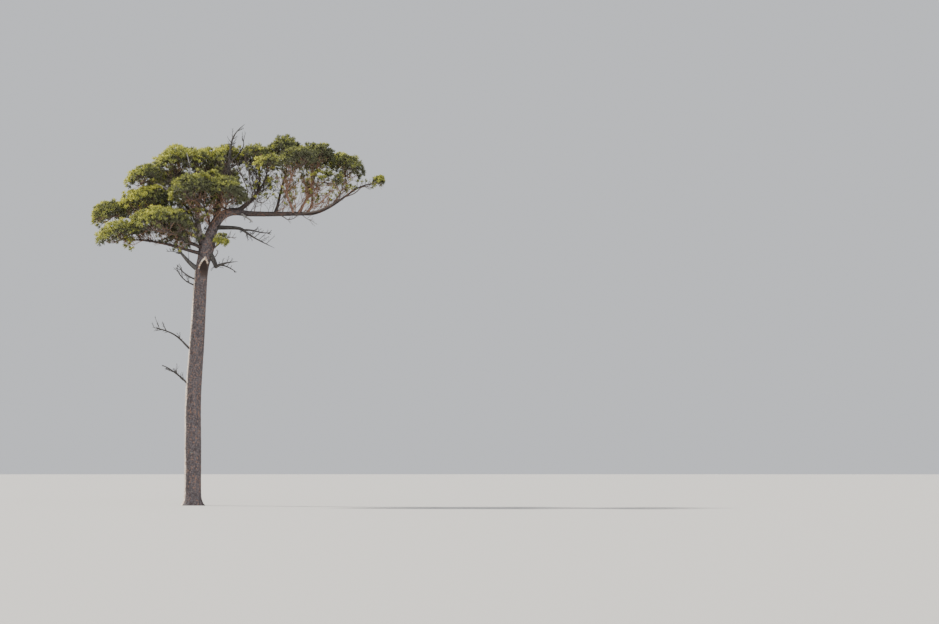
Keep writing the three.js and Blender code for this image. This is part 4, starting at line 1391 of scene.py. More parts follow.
TRUNK_FINISH = BarkFinish(
    name="trunk_plates",
    groove=(0.03, 0.02, 0.018),
    plates=((0.042, 0.027, 0.025), (0.074, 0.062, 0.064), (0.115, 0.104, 0.11), (0.24, 0.125, 0.077)),
    lichen=(0.165, 0.165, 0.145),
    relief=replace(BarkFinish.relief, scale=30.0, drawn_out=1.5, bump=0.7),
    scars_and_painted_light=ScarsAndPaintedLight(),
)
BOUGH_FINISH = BarkFinish(
    name="bough_flakes",
    groove=(0.014, 0.0105, 0.01),
    plates=((0.024, 0.018, 0.0165), (0.04, 0.032, 0.03), (0.064, 0.054, 0.052), (0.13, 0.065, 0.044)),
    lichen=(0.085, 0.085, 0.07),
)
# The arm's root keeps the trunk's paler plates: partly its older bark, partly painted light on the shaded
# neck.
ARM_FINISH = replace(BOUGH_FINISH, name="arm_flakes", old_and_lifted_plates=TRUNK_FINISH.plates)
LEADER_FINISH = BarkFinish(
    name="leader_grey_flakes",
    groove=(0.06, 0.05, 0.044),
    plates=((0.15, 0.128, 0.116), (0.23, 0.2, 0.187), (0.31, 0.28, 0.265), (0.33, 0.23, 0.18)),
    lichen=(0.2, 0.2, 0.17),
    lichen_amount=0.4,
)
YOUNG_BOUGH_FINISH = BarkFinish(
    name="young_orange_flakes",
    groove=(0.04, 0.024, 0.019),
    plates=((0.09, 0.055, 0.045), (0.16, 0.095, 0.072), (0.26, 0.155, 0.115), (0.4, 0.24, 0.17)),
    lichen=(0.2, 0.18, 0.15),
    lichen_amount=0.15,
    relief=replace(BarkFinish.relief, bump=0.5),
)
BOUGH_DRESS = dict.fromkeys(
    ("left_leader", "bough_left_shelf", "bough_upper_left", "bough_upper_left_tip"), LEADER_FINISH
) | dict.fromkeys(
    ("bough_right_front", "bough_right_shoulder", "bough_right_low", "bough_right_outer"),
    YOUNG_BOUGH_FINISH,
)
DRY_FINISH = DryWoodFinish(
    name="dry_grey_wood",
    crack=(0.022, 0.019, 0.017),
    grain=((0.032, 0.028, 0.026), (0.058, 0.052, 0.048), (0.096, 0.088, 0.082)),
    lichen=(0.1, 0.105, 0.08),
    lichen_amount=0.3,
)
PALE_FINISH = DryWoodFinish(
    name="pale_bare_wood",
    crack=(0.03, 0.027, 0.025),
    grain=((0.052, 0.048, 0.045), (0.082, 0.077, 0.072), (0.118, 0.112, 0.106)),
    lichen=(0.085, 0.085, 0.07),
    lichen_amount=0.15,
)
BLEACHED_FINISH = DryWoodFinish(
    name="bleached_wood",
    crack=(0.09, 0.083, 0.076),
    grain=((0.2, 0.19, 0.178), (0.29, 0.278, 0.264), (0.4, 0.385, 0.37)),
    lichen=(0.24, 0.24, 0.2),
    lichen_amount=0.1,
)
PALE_LIMBS = {
    "dead_pale_snag": BLEACHED_FINISH,
    "dead_hanging_stub": BLEACHED_FINISH,
    "dead_grey_low_left": PALE_FINISH,
}
TWIG_FINISHES = {
    Tone.OLD: PlainFinish("old_twig_bark", (0.1, 0.08, 0.07), 0.85, 0.2),
    Tone.YOUNG: PlainFinish("young_twig_bark", (0.23, 0.138, 0.096), 0.8, 0.2),
}
DRY_TWIG_FINISH = PlainFinish("dry_twig_bark", (0.06, 0.053, 0.047), 0.85, 0.2)
FLOOR_FINISH = PlainFinish("floor_paper", (0.42, 0.415, 0.405), 0.9, 0.1)
# Plain needle shades, dealt out as painted shade and painted sunlight, with some of the needles' own range
# of green.
NEEDLE_FINISHES = {
    Shade.DEEP: PlainFinish("needles_deep_green", (0.1, 0.106, 0.06), 0.65, 0.15),
    Shade.OLIVE: PlainFinish("needles_olive", (0.185, 0.198, 0.074), 0.65, 0.15),
    Shade.FRESH: PlainFinish("needles_fresh_green", (0.325, 0.34, 0.082), 0.65, 0.15),
    Shade.SUNLIT: PlainFinish("needles_sunlit_yellow", (0.58, 0.575, 0.118), 0.65, 0.15),
}


# The trunk


@dataclass(frozen=True)
class Socket:
    """The socket of a limb that broke off, on the front of the neck: an arch with a pale lip,
    partly bare wood and partly a painted highlight, with painted shade in its recess and a
    painted shadow below it.

    A pair gives where something starts and over how much it fades in: across the arch,
    where 1 is its edge, or up it, where 0 is its foot and 1 its top.
    """

    height: float = 9.9
    width: float = 0.37
    rise: float = 0.4
    skew: float = 0.06
    power: float = 1.5
    lip: float = 0.045
    lip_half: float = 0.2
    lip_from: float = -0.15
    depth: float = 0.075
    dent_in: Pair = (1.0, -0.45)
    dent_up: Pair = (-0.35, 0.5)
    # The pale lip: partly bare broken wood, partly a painted highlight.
    torn_at: float = 1.02
    torn_half: float = 0.13
    torn_from: Pair = (-0.12, 0.38)
    torn_fade: float = 0.2
    torn_strength: float = 1.3
    # Painted shade in the recess under the arch.
    dark_in: Pair = (0.92, -0.15)
    dark_up: Pair = (-0.6, 0.5)
    # Where the painted shadow falls, below and to the right of the arch.
    stain_over: Pair = (-0.75, 0.5)
    stain_up: Pair = (-1.15, 0.5)
    stain_down: Pair = (0.9, -0.5)
    stain_strength: float = 0.95

    def share(self, points: Array, foot: Array) -> tuple[Array, Array, Array]:
        """Where places lie in the arch.

        Args:
            points: places on the trunk.
            foot: the centre at the arch's foot.

        Returns:
            A number that is under 1 inside the arch and 1 along it, how high each place
            is in it, from 0 at its foot to 1 at its top, and how far over to the right.
        """
        up = (points[:, 2] - self.height) / self.rise
        over = (points[:, 0] - foot[0] - self.skew * (1 + up)) / (self.width / 2)
        share = np.abs(over) ** self.power + np.maximum(0, up) ** self.power
        return share ** (1 / self.power), up, over


@dataclass(frozen=True)
class PaintedSunlitSide:
    """Painted sunlight on the sunward side: a pale strip that wanders, in degrees, metres and radians."""

    middle: float = 175.0
    edge: Pair = (0.84, 0.15)
    top: Pair = (10.3, -0.4)
    waves: tuple[Triple, Triple] = ((0.07, 1.7, 0.0), (0.05, 4.1, 1.0))

    def at(self, height: Array, angle: Array) -> Array:
        """Returns how much painted sunlight lightens the bark, at heights and angles round the trunk."""
        wander = sum(swing * np.sin(turns * height + start) for swing, turns, start in self.waves)
        facing = np.cos(angle - math.radians(self.middle) + wander)
        return fade(facing, *self.edge) * fade(height, *self.top)


@dataclass
class Trunk:
    """The trunk: a long bole with plated bark, a root flare, a socket, a small dark spot of
    painted shade at the fork, and painted sunlight on its sunward side.
    """

    shape: TrunkShape = field(default_factory=TrunkShape)
    socket: Socket = field(default_factory=Socket)
    painted_sun_side: PaintedSunlitSide = field(default_factory=PaintedSunlitSide)
    bark: BarkPattern = BarkPattern(width=0.058, length=0.09, depth=0.02, seed=SEEDS.bark)
    cell: float = 0.0155
    # A small dark spot of painted shade at the fork: its place and size, how flat it is and how dark.
    painted_fork_shade: Triple = (0.386, 11.147, 0.07)
    fork_shade_flat: float = 0.6
    fork_shade_strength: float = 1.6
    front_rise: float = 1.5

    def _front(self, angle: Array) -> Array:
        """Returns how much each place faces the front, from 0 to 1."""
        return np.clip(self.front_rise * np.sin(angle), 0, 1)

    def _in_arch(self, points: Array) -> tuple[Array, Array, Array]:
        """Returns where places lie in the socket's arch."""
        return self.socket.share(points, self.shape.at(self.socket.height / (self.shape.height * MM)))

    def _extra(self, centres: Array, plain: Array, angle: Array) -> Array:
        """How far the flare and the socket move the skin out or in.

        Args:
            centres: the centre at each place.
            plain: the radius there.
            angle: how far round each place is.

        Returns:
            The distance for each place, in metres.
        """
        arch = self.socket
        across = np.stack([np.cos(angle), -np.sin(angle), np.zeros_like(angle)], axis=1)
        share, up, _ = self._in_arch(centres + plain[:, None] * across)
        lip = arch.lip * np.exp(-(((share - 1) / arch.lip_half) ** 2)) * (up > arch.lip_from)
        dent = arch.depth * (fade(share, *arch.dent_in) * fade(up, *arch.dent_up))
        return self.shape.root_flare(centres[:, 2], angle) + (lip - dent) * self._front(angle)

    def _marks(self, points: Array, angle: Array) -> dict[str, Array]:
        """Where the wood is broken, with a painted highlight on its lip, where painted shade darkens
        the recess and the fork, where a painted shadow falls, and where painted sunlight lightens the bark.

        Args:
            points: the skin's places.
            angle: how far round each one is.

        Returns:
            The values of the attributes for the broken lip with its painted highlight, the painted
            shade, the painted shadow and the painted sunlight.
        """
        arch = self.socket
        share, up, over = self._in_arch(points)
        front = self._front(angle)
        # The pale lip: partly bare broken wood, partly a painted highlight that reaches lower on the sunlit
        # left.
        left, right = arch.torn_from
        edge = np.exp(-(((share - arch.torn_at) / arch.torn_half) ** 2))
        torn = edge * fade(up, np.where(over > 0, right, left), arch.torn_fade) * front
        # Painted shade: dark in the recess under the arch, and a small dark spot at the fork.
        hollow = fade(share, *arch.dark_in) * fade(up, *arch.dark_up) * front
        x, z, size = self.painted_fork_shade
        gap = np.hypot(points[:, 0] - x, self.fork_shade_flat * (points[:, 2] - z)) / size
        painted_fork_shade = np.clip(self.fork_shade_strength * (1 - gap), 0, 1) * front
        # A painted shadow below and to the right of the socket, where its lip would cast one.
        stain = fade(over, *arch.stain_over) * fade(up, *arch.stain_up) * fade(up, *arch.stain_down)
        return {
            "torn": np.clip(arch.torn_strength * torn, 0, 1),
            "hollow": np.maximum(hollow, painted_fork_shade),
            "stain": arch.stain_strength * stain * front,
            "bleached": self.painted_sun_side.at(points[:, 2], angle),
        }

    def build(self, effects: SharedEffects) -> None:
        """Builds the trunk's skin and dresses it."""
        tube = Tube(self.shape, self.shape.radius, self.bark, self.cell, level=True,
                    extra=self._extra, marks=self._marks)
        mesh = tube.mesh("trunk_skin")
        add_piece("trunk_skin", mesh, TRUNK_FINISH.build(effects), ["trunk"])


# The boughs and the dead limbs


@dataclass
class Limb:
    """A limb's centre-line and radius, in metres."""

    row: LimbRow
    line: Line
    collar_fade: float = 9.0
    point: float = 0.7
    point_power: float = 16.0

    def radius(self, t: Array | float) -> Array:
        """Returns its radius at these places."""
        t = np.asarray(t, float)
        row = self.row
        taper = row.end + (row.root - row.end) * (1 - t) ** row.taper
        return (taper + row.collar * row.root * np.exp(-self.collar_fade * t)) * MM

    def pointed(self, t: Array | float) -> Array:
        """Returns its radius when its very end is drawn to a point."""
        return self.radius(t) * (1 - self.point * np.asarray(t, float) ** self.point_power)


def limb_from(parent: Line, row: LimbRow, stream: Stream) -> Limb:
    """Works out a limb from its row, by the rule of the solids.

    Args:
        parent: the line that it leaves.
        row: its row.
        stream: what its crook is drawn from.

    Returns:
        The limb.
    """
    start = parent.at(row.at)
    tip = np.array(row.tip) * MM
    leave, arrive = heading_vector(*row.leave), heading_vector(*row.arrive)
    return Limb(row, LimbLine(start, tip, leave, arrive, stream, row.pull, row.crook))


@dataclass
class Skeleton:
    """All the limbs' lines, worked out before anything is built on them."""

    trunk: TrunkShape = field(default_factory=TrunkShape)
    boughs: dict[str, Limb] = field(default_factory=dict)
    streams: dict[str, Stream] = field(default_factory=dict)
    dead: dict[str, Limb] = field(default_factory=dict)
    forks: dict[str, list[Limb]] = field(default_factory=dict)

    def line(self, name: str) -> Line:
        """Returns the line of the trunk or of a bough."""
        return self.trunk if name == "trunk" else self.boughs[name].line

    def grow(self) -> None:
        """Works out the boughs, and then the dead limbs with their forks."""
        for i, row in enumerate(BOUGHS):
            self.boughs[row.name] = limb_from(self.line(row.parent), row, Stream(SEEDS.boughs + i))
        for i, row in enumerate(DEAD_LIMBS):
            stream = Stream(SEEDS.dead_limbs + i)
            limb = limb_from(self.line(row.parent), row, stream)
            self.dead[row.name] = limb
            self.forks[row.name] = [limb_from(limb.line, fork, stream) for fork in row.forks]
            self.streams[row.name] = stream

    def in_view(self) -> tuple[Array, Array]:
        """Limbs that no needles hide from the front.

        Returns:
            Places along them, and how far needles keep from each place.
        """
        places, berths = [], []
        for name, first, berth in IN_VIEW:
            limb = self.dead.get(name) or self.boughs[name]
            forks = self.forks[name] if name == "dead_top" else []
            for each in [limb, *forks]:
                t = np.linspace(first, 1, 30)
                places.append(each.line.at(t))
                berths.append(berth + each.radius(t))
        return np.concatenate(places), np.concatenate(berths)


@dataclass
class Boughs:
    """The living limbs, each a skin of flaking bark."""

    skeleton: Skeleton
    cell: float = 0.02
    arm_cell: float = 0.018
    arm_thickness: float = 0.185
    old_and_lifted_bark: Pair = (2.5, -1.0)
    plate: Triple = (0.06, 0.1, 0.013)
    least_scale: float = 0.45
    full_scale: float = 0.3

    def _age(self, points: Array, _: Array) -> dict[str, Array]:
        """Returns where the arm has the trunk's paler plates, as the attribute `old`: partly its
        older bark, partly painted light that lifts the shaded neck.
        """
        return {"old": fade(points[:, 0], *self.old_and_lifted_bark)}

    def _bark(self, thickness: float, seed: int) -> BarkPattern:
        """Returns the bark of a limb as thick as this at its root, in metres."""
        scale = min(1.0, self.least_scale + thickness / self.full_scale)
        return BarkPattern(*(size * scale for size in self.plate), seed=SEEDS.bark + seed)

    def build(self, effects: SharedEffects) -> None:
        """Builds the long arm as one skin, and every other bough."""
        looks = (BOUGH_FINISH, LEADER_FINISH, YOUNG_BOUGH_FINISH)
        built = {look.name: look.build(effects) for look in looks}
        arm = [self.skeleton.boughs[name] for name in LONG_ARM]

        def arm_radius(t: Array) -> Array:
            """Returns the radius of the three joined parts."""
            places = np.asarray(t, float) * len(arm)
            which = np.clip(places.astype(int), 0, len(arm) - 1)
            return np.array([arm[k].radius(p - k) for k, p in zip(which, places)])

        line = JoinedLine([limb.line for limb in arm])
        bark = self._bark(self.arm_thickness, 0)
        mesh = Tube(line, arm_radius, bark, self.arm_cell, marks=self._age).mesh("long_arm_skin")
        add_piece("long_arm_skin", mesh, ARM_FINISH.build(effects), LONG_ARM)
        for i, (name, limb) in enumerate(self.skeleton.boughs.items()):
            if name in LONG_ARM:
                continue
            bark = self._bark(limb.row.root * MM, i + 1)
            skin = Tube(limb.line, limb.radius, bark, self.cell).mesh(f"{name}_skin")
            look = BOUGH_DRESS.get(name, BOUGH_FINISH)
            add_piece(f"{name}_skin", skin, built[look.name], [name])


@dataclass(frozen=True)
class DeadTwigRule:
    """A bare side twig of a dead limb, as the solids have it."""

    span: Pair = (0.35, 0.95)
    shortest: float = 0.55
    root: float = 0.015
    root_share: float = 0.6
    taper: float = 0.6
    ahead: float = 0.7
    up: float = 0.35
    crook: float = 0.06


@dataclass(frozen=True)
class DryTwigRule:
    """The fine bare twigs that only the dressed limbs have, in metres."""

    spacing: float = 0.2
    span: Pair = (0.3, 0.97)
    least: float = 0.12
    share: float = 0.17
    most: float = 0.45
    radius: float = 0.018
    rise: float = 0.5


@dataclass
class DeadLimbs:
    """The bare grey limbs, with their forks and side twigs."""

    skeleton: Skeleton
    space: Space
    cell: float = 0.013
    sides: int = 8
    twig_sides: int = 6
    twig: DeadTwigRule = DeadTwigRule()
    dry: DryTwigRule = DryTwigRule()
    grain: BarkPattern = BarkPattern(0.03, 0.3, 0.006, seam=0.3, seed=SEEDS.bark + 60)

    def _limbs(self, name: str) -> list[Limb]:
        """Returns a limb and its forks."""
        return [self.skeleton.dead[name], *self.skeleton.forks[name]]

    def _side_twig(self, limb: Limb, stream: Stream) -> Tube:
        """One short dead twig, drawn by the rule of the solids.

        Args:
            limb: its limb.
            stream: the limb's stream.

        Returns:
            The twig's skin, still to be built.
        """
        rule = self.twig
        at = stream.between(*rule.span)
        start, ahead = limb.line.at(at), heading_at(limb.line, at)
        out = across_from(np.array([stream.signed() for _ in range(3)]), ahead)
        heading = unit(ahead * rule.ahead + out + UP * rule.up)
        length = limb.row.twig_length * MM * stream.between(rule.shortest, 1)
        root = min(rule.root_share * float(limb.radius(at)), rule.root)
        line = LimbLine(start, start + heading * length, heading, heading, stream, 1, rule.crook)

        def radius(t: Array) -> Array:
            """Returns the twig's radius at these places."""
            return root * (1 - rule.taper * np.asarray(t))

        return Tube(line, radius, self.grain, self.cell, self.twig_sides)

    def _fine_twigs(self) -> None:
        """Grows fine bare twigs on all of them, as one piece."""
        rng = np.random.default_rng(SEEDS.dry_twigs)
        bundle = Bundle()
        dry = self.dry
        for limb in (limb for name in self.skeleton.dead for limb in self._limbs(name)):
            reach = limb.line.reach
            length = min(dry.most, dry.least + dry.share * reach)
            places = rng.uniform(*dry.span, max(2, round(reach / dry.spacing)))
            SideTwigs(self.space, length, dry.radius, dry.rise).grow(bundle, limb.line, places, rng)
        mesh = bundle.mesh("fine_dry_twigs")
        add_piece("fine_dry_twigs", mesh, DRY_TWIG_FINISH.build(), self.skeleton.dead)

    def build(self, effects: SharedEffects) -> None:
        """Builds the fine twigs, and then each dead limb as one piece."""
        self._fine_twigs()
        woods = (DRY_FINISH, PALE_FINISH, BLEACHED_FINISH)
        built = {wood.name: wood.build(effects) for wood in woods}
        for i, (name, limb) in enumerate(self.skeleton.dead.items()):
            stream = self.skeleton.streams[name]
            grain = replace(self.grain, seed=self.grain.seed + i)
            tubes = [
                Tube(each.line, each.pointed, grain, self.cell, self.sides) for each in self._limbs(name)
            ]
            tubes += [self._side_twig(limb, stream) for _ in range(limb.row.twigs)]
            skin = join_meshes(f"{name}_wood", [tube.mesh(f"{name}_part") for tube in tubes])
            wood = PALE_LIMBS.get(name, DRY_FINISH)
            add_piece(f"{name}_wood", skin, built[wood.name], [name])


# The masses of twigs and needles


@dataclass(frozen=True)
class Tuft:
    """A tuft of a mass: where its middle is and how far it reaches."""

    place: Array
    reach: float
    stream: Stream


@dataclass(frozen=True)
class DomeRule:
    """How the solids deal a mass's tufts out over a dome, as shares of its size."""

    spacing: float = 500.0
    reach: float = 0.56
    inset: float = 0.8
    smallest: float = 0.35
    flank: float = 1.35
    least_tufts: int = 5
    edge: float = 0.44
    power: float = 2.4
    roundness: float = 0.6
    sink: float = 0.38
    jitter: float = 0.16
    later_draws: int = 8


@dataclass(frozen=True)
class StemRule:
    """The stem of a mass, from its bough's tip to the head where its main twigs part."""

    share: float = 0.5
    highest: float = 0.55
    least: float = 0.1
    upturn: float = 0.4
    pull: float = 0.8
    crook: float = 0.02


@dataclass(frozen=True)
class TwigRule:
    """A main twig, which ends in a tuft, and the stalks of the others that it carries."""

    tufts: int = 4
    start: float = 0.3
    short: float = 0.22
    drop: float = 0.45
    leave: float = 0.2
    arrive: float = 0.9
    crook: float = 0.05
    back: float = 0.3
    stalks: Pair = (0.15, 0.95)
    bare: float = 0.55
    lean: float = 0.6
    pull: float = 0.9
    spots: int = 12


def nearest(spots: Array, place: Array) -> int:
    """Returns which of some spots is nearest to a place."""
    return int(np.argmin(np.linalg.norm(spots - place, axis=1)))


@dataclass
class Mass:
    """One mass of needles: its stem and its tufts, by the rule of the solids."""

    row: MassRow
    seed: int
    bough: Limb
    dome: DomeRule = DomeRule()
    rise: StemRule = StemRule()
    twigs: TwigRule = TwigRule()

    def __post_init__(self) -> None:
        """Works out the stem and the tufts."""
        self.centre = np.array(self.row.centre) * MM
        self.half = np.array(self.row.half) * MM
        self.thin = min(1.0, self.row.spacing / self.dome.spacing)
        self.stem = self._stem()
        self.tufts = self._tufts()

    def _stem(self) -> LimbLine:
        """Returns the stem's line, from the bough's tip to the head."""
        rise = self.rise
        ahead = heading_at(self.bough.line, 1.0)
        start = self.bough.line.at(1.0)
        head = start + rise.share * (self.centre - start)
        highest = self.centre[2] - rise.highest * self.half[2]
        head[2] = max(start[2] + rise.least * self.half[2], highest)
        arrive = unit(ahead + rise.upturn * (UP - ahead))
        return LimbLine(start, head, ahead, arrive, Stream(self.seed), rise.pull, rise.crook)

    def _tufts(self) -> list[Tuft]:
        """Returns the tufts on the dome."""
        dome = self.dome
        spacing = self.row.spacing * MM
        reach = spacing * dome.reach
        a, b, h = np.maximum(self.half - dome.inset * reach, dome.smallest * self.half)
        area = math.pi * self.half[0] * self.half[1] * dome.flank
        count = max(dome.least_tufts, round(area / spacing**2))
        turn = TURN * Stream(self.seed)()
        tufts = []
        for i in range(count):
            stream = Stream(self.seed + i + 1)
            out = ((i + 0.5) / count) ** dome.edge
            angle = turn + i * GOLDEN_ANGLE
            inner = dome.jitter * (1 - out)
            x = a * (out * math.cos(angle) + inner * stream.signed())
            y = b * (out * math.sin(angle) + inner * stream.signed())
            level = (1 - out**dome.power) ** dome.roundness - dome.sink * out
            z = h * (level + dome.jitter * stream.signed()) + self.row.slope * x
            for _ in range(dome.later_draws):
                stream()
            tufts.append(Tuft(self.centre + np.array([x, y, z]), reach, stream))
        return tufts

    def groups(self) -> list[list[Tuft]]:
        """Returns the tufts shared out among main twigs, the furthest of each group first."""
        head = self.stem.tip

        def bearing(tuft: Tuft) -> float:
            """Returns which way a tuft lies from the head."""
            return math.atan2(tuft.place[1] - head[1], tuft.place[0] - head[0])

        def nearness(tuft: Tuft) -> float:
            """Returns minus how far a tuft is from the head."""
            return -float(np.linalg.norm(tuft.place - head))

        around = sorted(self.tufts, key=bearing)
        angles = [bearing(tuft) for tuft in around]
        first = int(np.argmax(np.diff([*angles, angles[0] + TURN]))) + 1
        turned = around[first:] + around[:first]
        count = math.ceil(len(turned) / self.twigs.tufts)
        cuts = [math.floor(g * len(turned) / count + 0.5) for g in range(count + 1)]
        return [sorted(turned[low:high], key=nearness) for low, high in zip(cuts, cuts[1:])]

    def main_twig(self, tuft: Tuft) -> LimbLine:
        """Returns the main twig that ends in this tuft."""
        rule = self.twigs
        end = tuft.place + rule.short * (self.stem.tip - tuft.place)
        end[2] -= rule.drop * tuft.reach
        spots = self.stem.at(np.linspace(rule.start, 1, rule.spots))
        root = spots[nearest(spots, tuft.place)]
        out = unit((end - root) * (1 - UP))
        leave, arrive = unit(out + rule.leave * UP), unit(out + rule.arrive * UP)
        return LimbLine(root, end, leave, arrive, tuft.stream, 1, rule.crook)

    def hub(self, tuft: Tuft, start: Array) -> Array:
        """Returns where the twigs of a tuft part, on the way to it from a start."""
        return tuft.place - self.twigs.bare * tuft.reach * unit(tuft.place - start)

    def stalk(self, twig: LimbLine, tuft: Tuft) -> LimbLine:
        """Returns the stalk that joins a tuft to a main twig."""
        rule = self.twigs
        aim = tuft.place + rule.back * (twig.start - tuft.place)
        places = np.linspace(*rule.stalks, rule.spots)
        at = float(places[nearest(twig.at(places), aim)])
        foot = twig.at(at)
        along = unit(tuft.place - foot)
        leave = unit(heading_at(twig, at) + rule.lean * along)
        end = self.hub(tuft, foot)
        return LimbLine(foot, end, leave, along, tuft.stream, rule.pull, rule.crook)


@dataclass(frozen=True)
class Layer:
    """A layer of a tuft: how many clumps of shoots it has and how they stand.

    The spread and the lifts are shares of the tuft's reach. The splay is how far the
    outer shoots of a clump lean out, and `light` is added to what picks a shoot's shade.
    """

    clumps: int
    spread: float
    edge: float
    lift: float
    dome: float
    out: float
    up: float
    shoots: int
    pairs: int
    splay: float
    light: float


# Through `light`, the upper layer gets painted sunlight and the lower layer painted shade.
LAYERS = (
    Layer(clumps=8, spread=1.0, edge=0.5, lift=-0.02, dome=0.42, out=0.7, up=1.15, shoots=5,
          pairs=9, splay=0.85, light=0.12),
    Layer(clumps=5, spread=0.86, edge=0.25, lift=-0.45, dome=0.1, out=1.0, up=0.2, shoots=4,
          pairs=8, splay=0.8, light=-0.45),
)


@dataclass(frozen=True)
class ShootRule:
    """The sizes of a shoot and of its needles, in metres, and how unevenly they stand."""

    axis: float = 0.1
    axis_radius: float = 0.0045
    axis_uneven: Pair = (0.8, 1.2)
    middle_lean: float = 0.1
    lean_noise: float = 0.13
    middle_light: float = 0.1
    outer_light: float = -0.03
    light_noise: float = 0.1
    bare: float = 0.25
    needle: float = 0.078
    needle_uneven: Pair = (0.85, 1.12)
    width: float = 0.019
    splay: Pair = (0.4, 1.2)
    splay_noise: float = 0.12
    parting: float = 0.17


@dataclass
class Crop:
    """The small things of one part of the crown, by kind."""

    needles: dict[Shade, Bundle] = field(default_factory=lambda: {shade: Bundle() for shade in Shade})
    twigs: dict[Tone, Bundle] = field(default_factory=lambda: {tone: Bundle() for tone in Tone})


@dataclass
class Sprays:
    """Shoots and their needles, dealt out by their shades.

    No clump starts nearer than `inset` to the sides of the space that they are kept in,
    or right in front of the limbs that stay in view.
    """

    space: Space
    in_view: tuple[Array, Array]
    inset: float = 0.2
    rule: ShootRule = ShootRule()
    sunward: Array = field(default_factory=lambda: heading_vector(*SUN))
    cuts: Triple = (0.3, 0.52, 0.74)
    sun_share: float = 0.52
    facing_noise: float = 0.06
    out_noise: float = 0.05
    noise: float = 0.2
    middle_light: float = 0.2
    twig_radius: float = 0.008

    def hides(self, nodes: Array) -> Array:
        """Returns whether a clump at each node would hide a limb that stays in view."""
        places, berths = self.in_view
        gap = nodes[:, None] - places[None]
        near = np.hypot(gap[..., 0], gap[..., 2]) < berths
        return np.any(near & (gap[..., 1] < berths), axis=1)

    def clump(
        self, crop: Crop, nodes: Array, heading: Array, layer: Layer, light: Array, size: float, rng: Rng
    ) -> None:
        """Grows a clump of shoots from each node.

        Args:
            crop: what they are added to.
            nodes: their starts.
            heading: their ways.
            layer: the clumps' layer.
            light: how sunlit each is, from 0 to 1.
            size: of everything, about 1.
            rng: the generator.
        """
        rule = self.rule
        shape = len(nodes), layer.shoots
        k = np.arange(layer.shoots)
        across, over = (axis[:, None] for axis in frame_round(heading))
        turn = TURN * k / max(1, layer.shoots - 1) + rng.uniform(0, TURN, (len(nodes), 1))
        lean = np.where(k == 0, rule.middle_lean, layer.splay) + rng.normal(0, rule.lean_noise, shape)
        way = unit(ring_round(heading[:, None], ring_round(across, over, turn), lean))
        length = (size * rule.axis * rng.uniform(*rule.axis_uneven, shape)).reshape(-1)
        roots = np.broadcast_to(nodes[:, None], way.shape).reshape(-1, 3)
        way = way.reshape(-1, 3)
        tips = roots + length[:, None] * way
        add_spikes(crop.twigs[Tone.OLD], roots, tips, size * rule.axis_radius)
        # The shoot's shade is picked by painted sunlight: the middle shoot and lit clumps get the paler
        # shades.
        score = light[:, None] + np.where(k == 0, rule.middle_light, rule.outer_light)
        score = score + rng.normal(0, rule.light_noise, shape)
        picks = np.digitize(score.reshape(-1), self.cuts)
        for pick, shade in enumerate(Shade):
            chosen = picks == pick
            if chosen.any():
                some = roots[chosen], way[chosen], length[chosen]
                crop.needles[shade].add(*self._needles(*some, layer.pairs, size, rng))

    def _needles(
        self, roots: Array, way: Array, length: Array, pairs: int, size: float, rng: Rng
    ) -> tuple[Array, Array]:
        """Pairs of needles round each shoot, like a brush.

        Args:
            roots: the shoots' starts.
            way: their ways.
            length: their lengths.
            pairs: how many each has.
            size: of everything, about 1.
            rng: the generator.

        Returns:
            The points and the triangles of all needles.
        """
        rule = self.rule
        shape = len(roots), pairs
        k = np.arange(pairs)
        share = rule.bare + (1 - rule.bare) * (k + 0.5) / pairs
        across, over = (axis[:, None] for axis in frame_round(way))
        turn = k * GOLDEN_ANGLE + rng.uniform(0, TURN, (len(roots), 1))
        out = ring_round(across, over, turn)
        along = np.broadcast_to(way[:, None], out.shape)
        side = np.cross(along, out)
        low, high = rule.splay
        tilt = high + (low - high) * share**2 + rng.normal(0, rule.splay_noise, shape)
        root = roots[:, None] + (length[:, None] * share)[..., None] * along
        reach = size * rule.needle * rng.uniform(*rule.needle_uneven, shape)[..., None]
        half = 0.5 * size * rule.width * side
        forward = ring_round(along, out, tilt)
        left = root + reach * (forward - rule.parting * side)
        right = root + reach * (forward + rule.parting * side)
        points = np.stack([root + half, root - half, right, left], axis=2)
        first = 4 * np.arange(len(roots) * pairs)[:, None, None]
        return points, first + np.array([[0, 1, 2], [1, 0, 3]])[None]

    def tuft(self, crop: Crop, tuft: Tuft, hub: Array, mass: Mass, rng: Rng) -> None:
        """Carries a tuft on to its layers of clumps.

        Args:
            crop: what they are added to.
            tuft: the tuft.
            hub: where its twigs part.
            mass: its mass.
            rng: the generator.
        """
        along = unit(tuft.place - hub)
        across, over = (axis[0] for axis in frame_round(along[None]))
        # Painted sunlight: tufts that face the sun, and brighter masses, get the paler shades.
        facing = self.sun_share * float(along @ self.sunward) + mass.row.bright
        facing += rng.normal(0, self.facing_noise)
        for layer in LAYERS:
            k = np.arange(layer.clumps)
            out = ((k + 0.5) / layer.clumps) ** layer.edge + rng.normal(0, self.out_noise, len(k))
            radial = ring_round(across, over, k * GOLDEN_ANGLE + rng.uniform(0, TURN))
            lift = layer.lift + layer.dome * (1 - out**2) + rng.normal(0, self.noise, len(k))
            nodes = layer.spread * out[:, None] * radial + lift[:, None] * along
            nodes = self.space.hold(tuft.place + tuft.reach * nodes, self.inset)
            uneven = rng.normal(0, self.noise, (len(k), 3))
            heading = unit(layer.out * out[:, None] * radial + layer.up * (along + UP) / 2 + uneven)
            kept = (rng.random(len(k)) < mass.row.cover) & ~self.hides(nodes)
            if not kept.any():
                continue
            nodes, heading, out = nodes[kept], heading[kept], out[kept]
            hubs = np.broadcast_to(hub, nodes.shape)
            add_spikes(crop.twigs[Tone.OLD], hubs, nodes, self.twig_radius * mass.thin)
            # Painted sunlight on the middle of the tuft, and the layer's painted sunlight or shade.
            light = facing + layer.light + self.middle_light * (1 - out**2)
            self.clump(crop, nodes, heading, layer, light, mass.thin**0.5, rng)


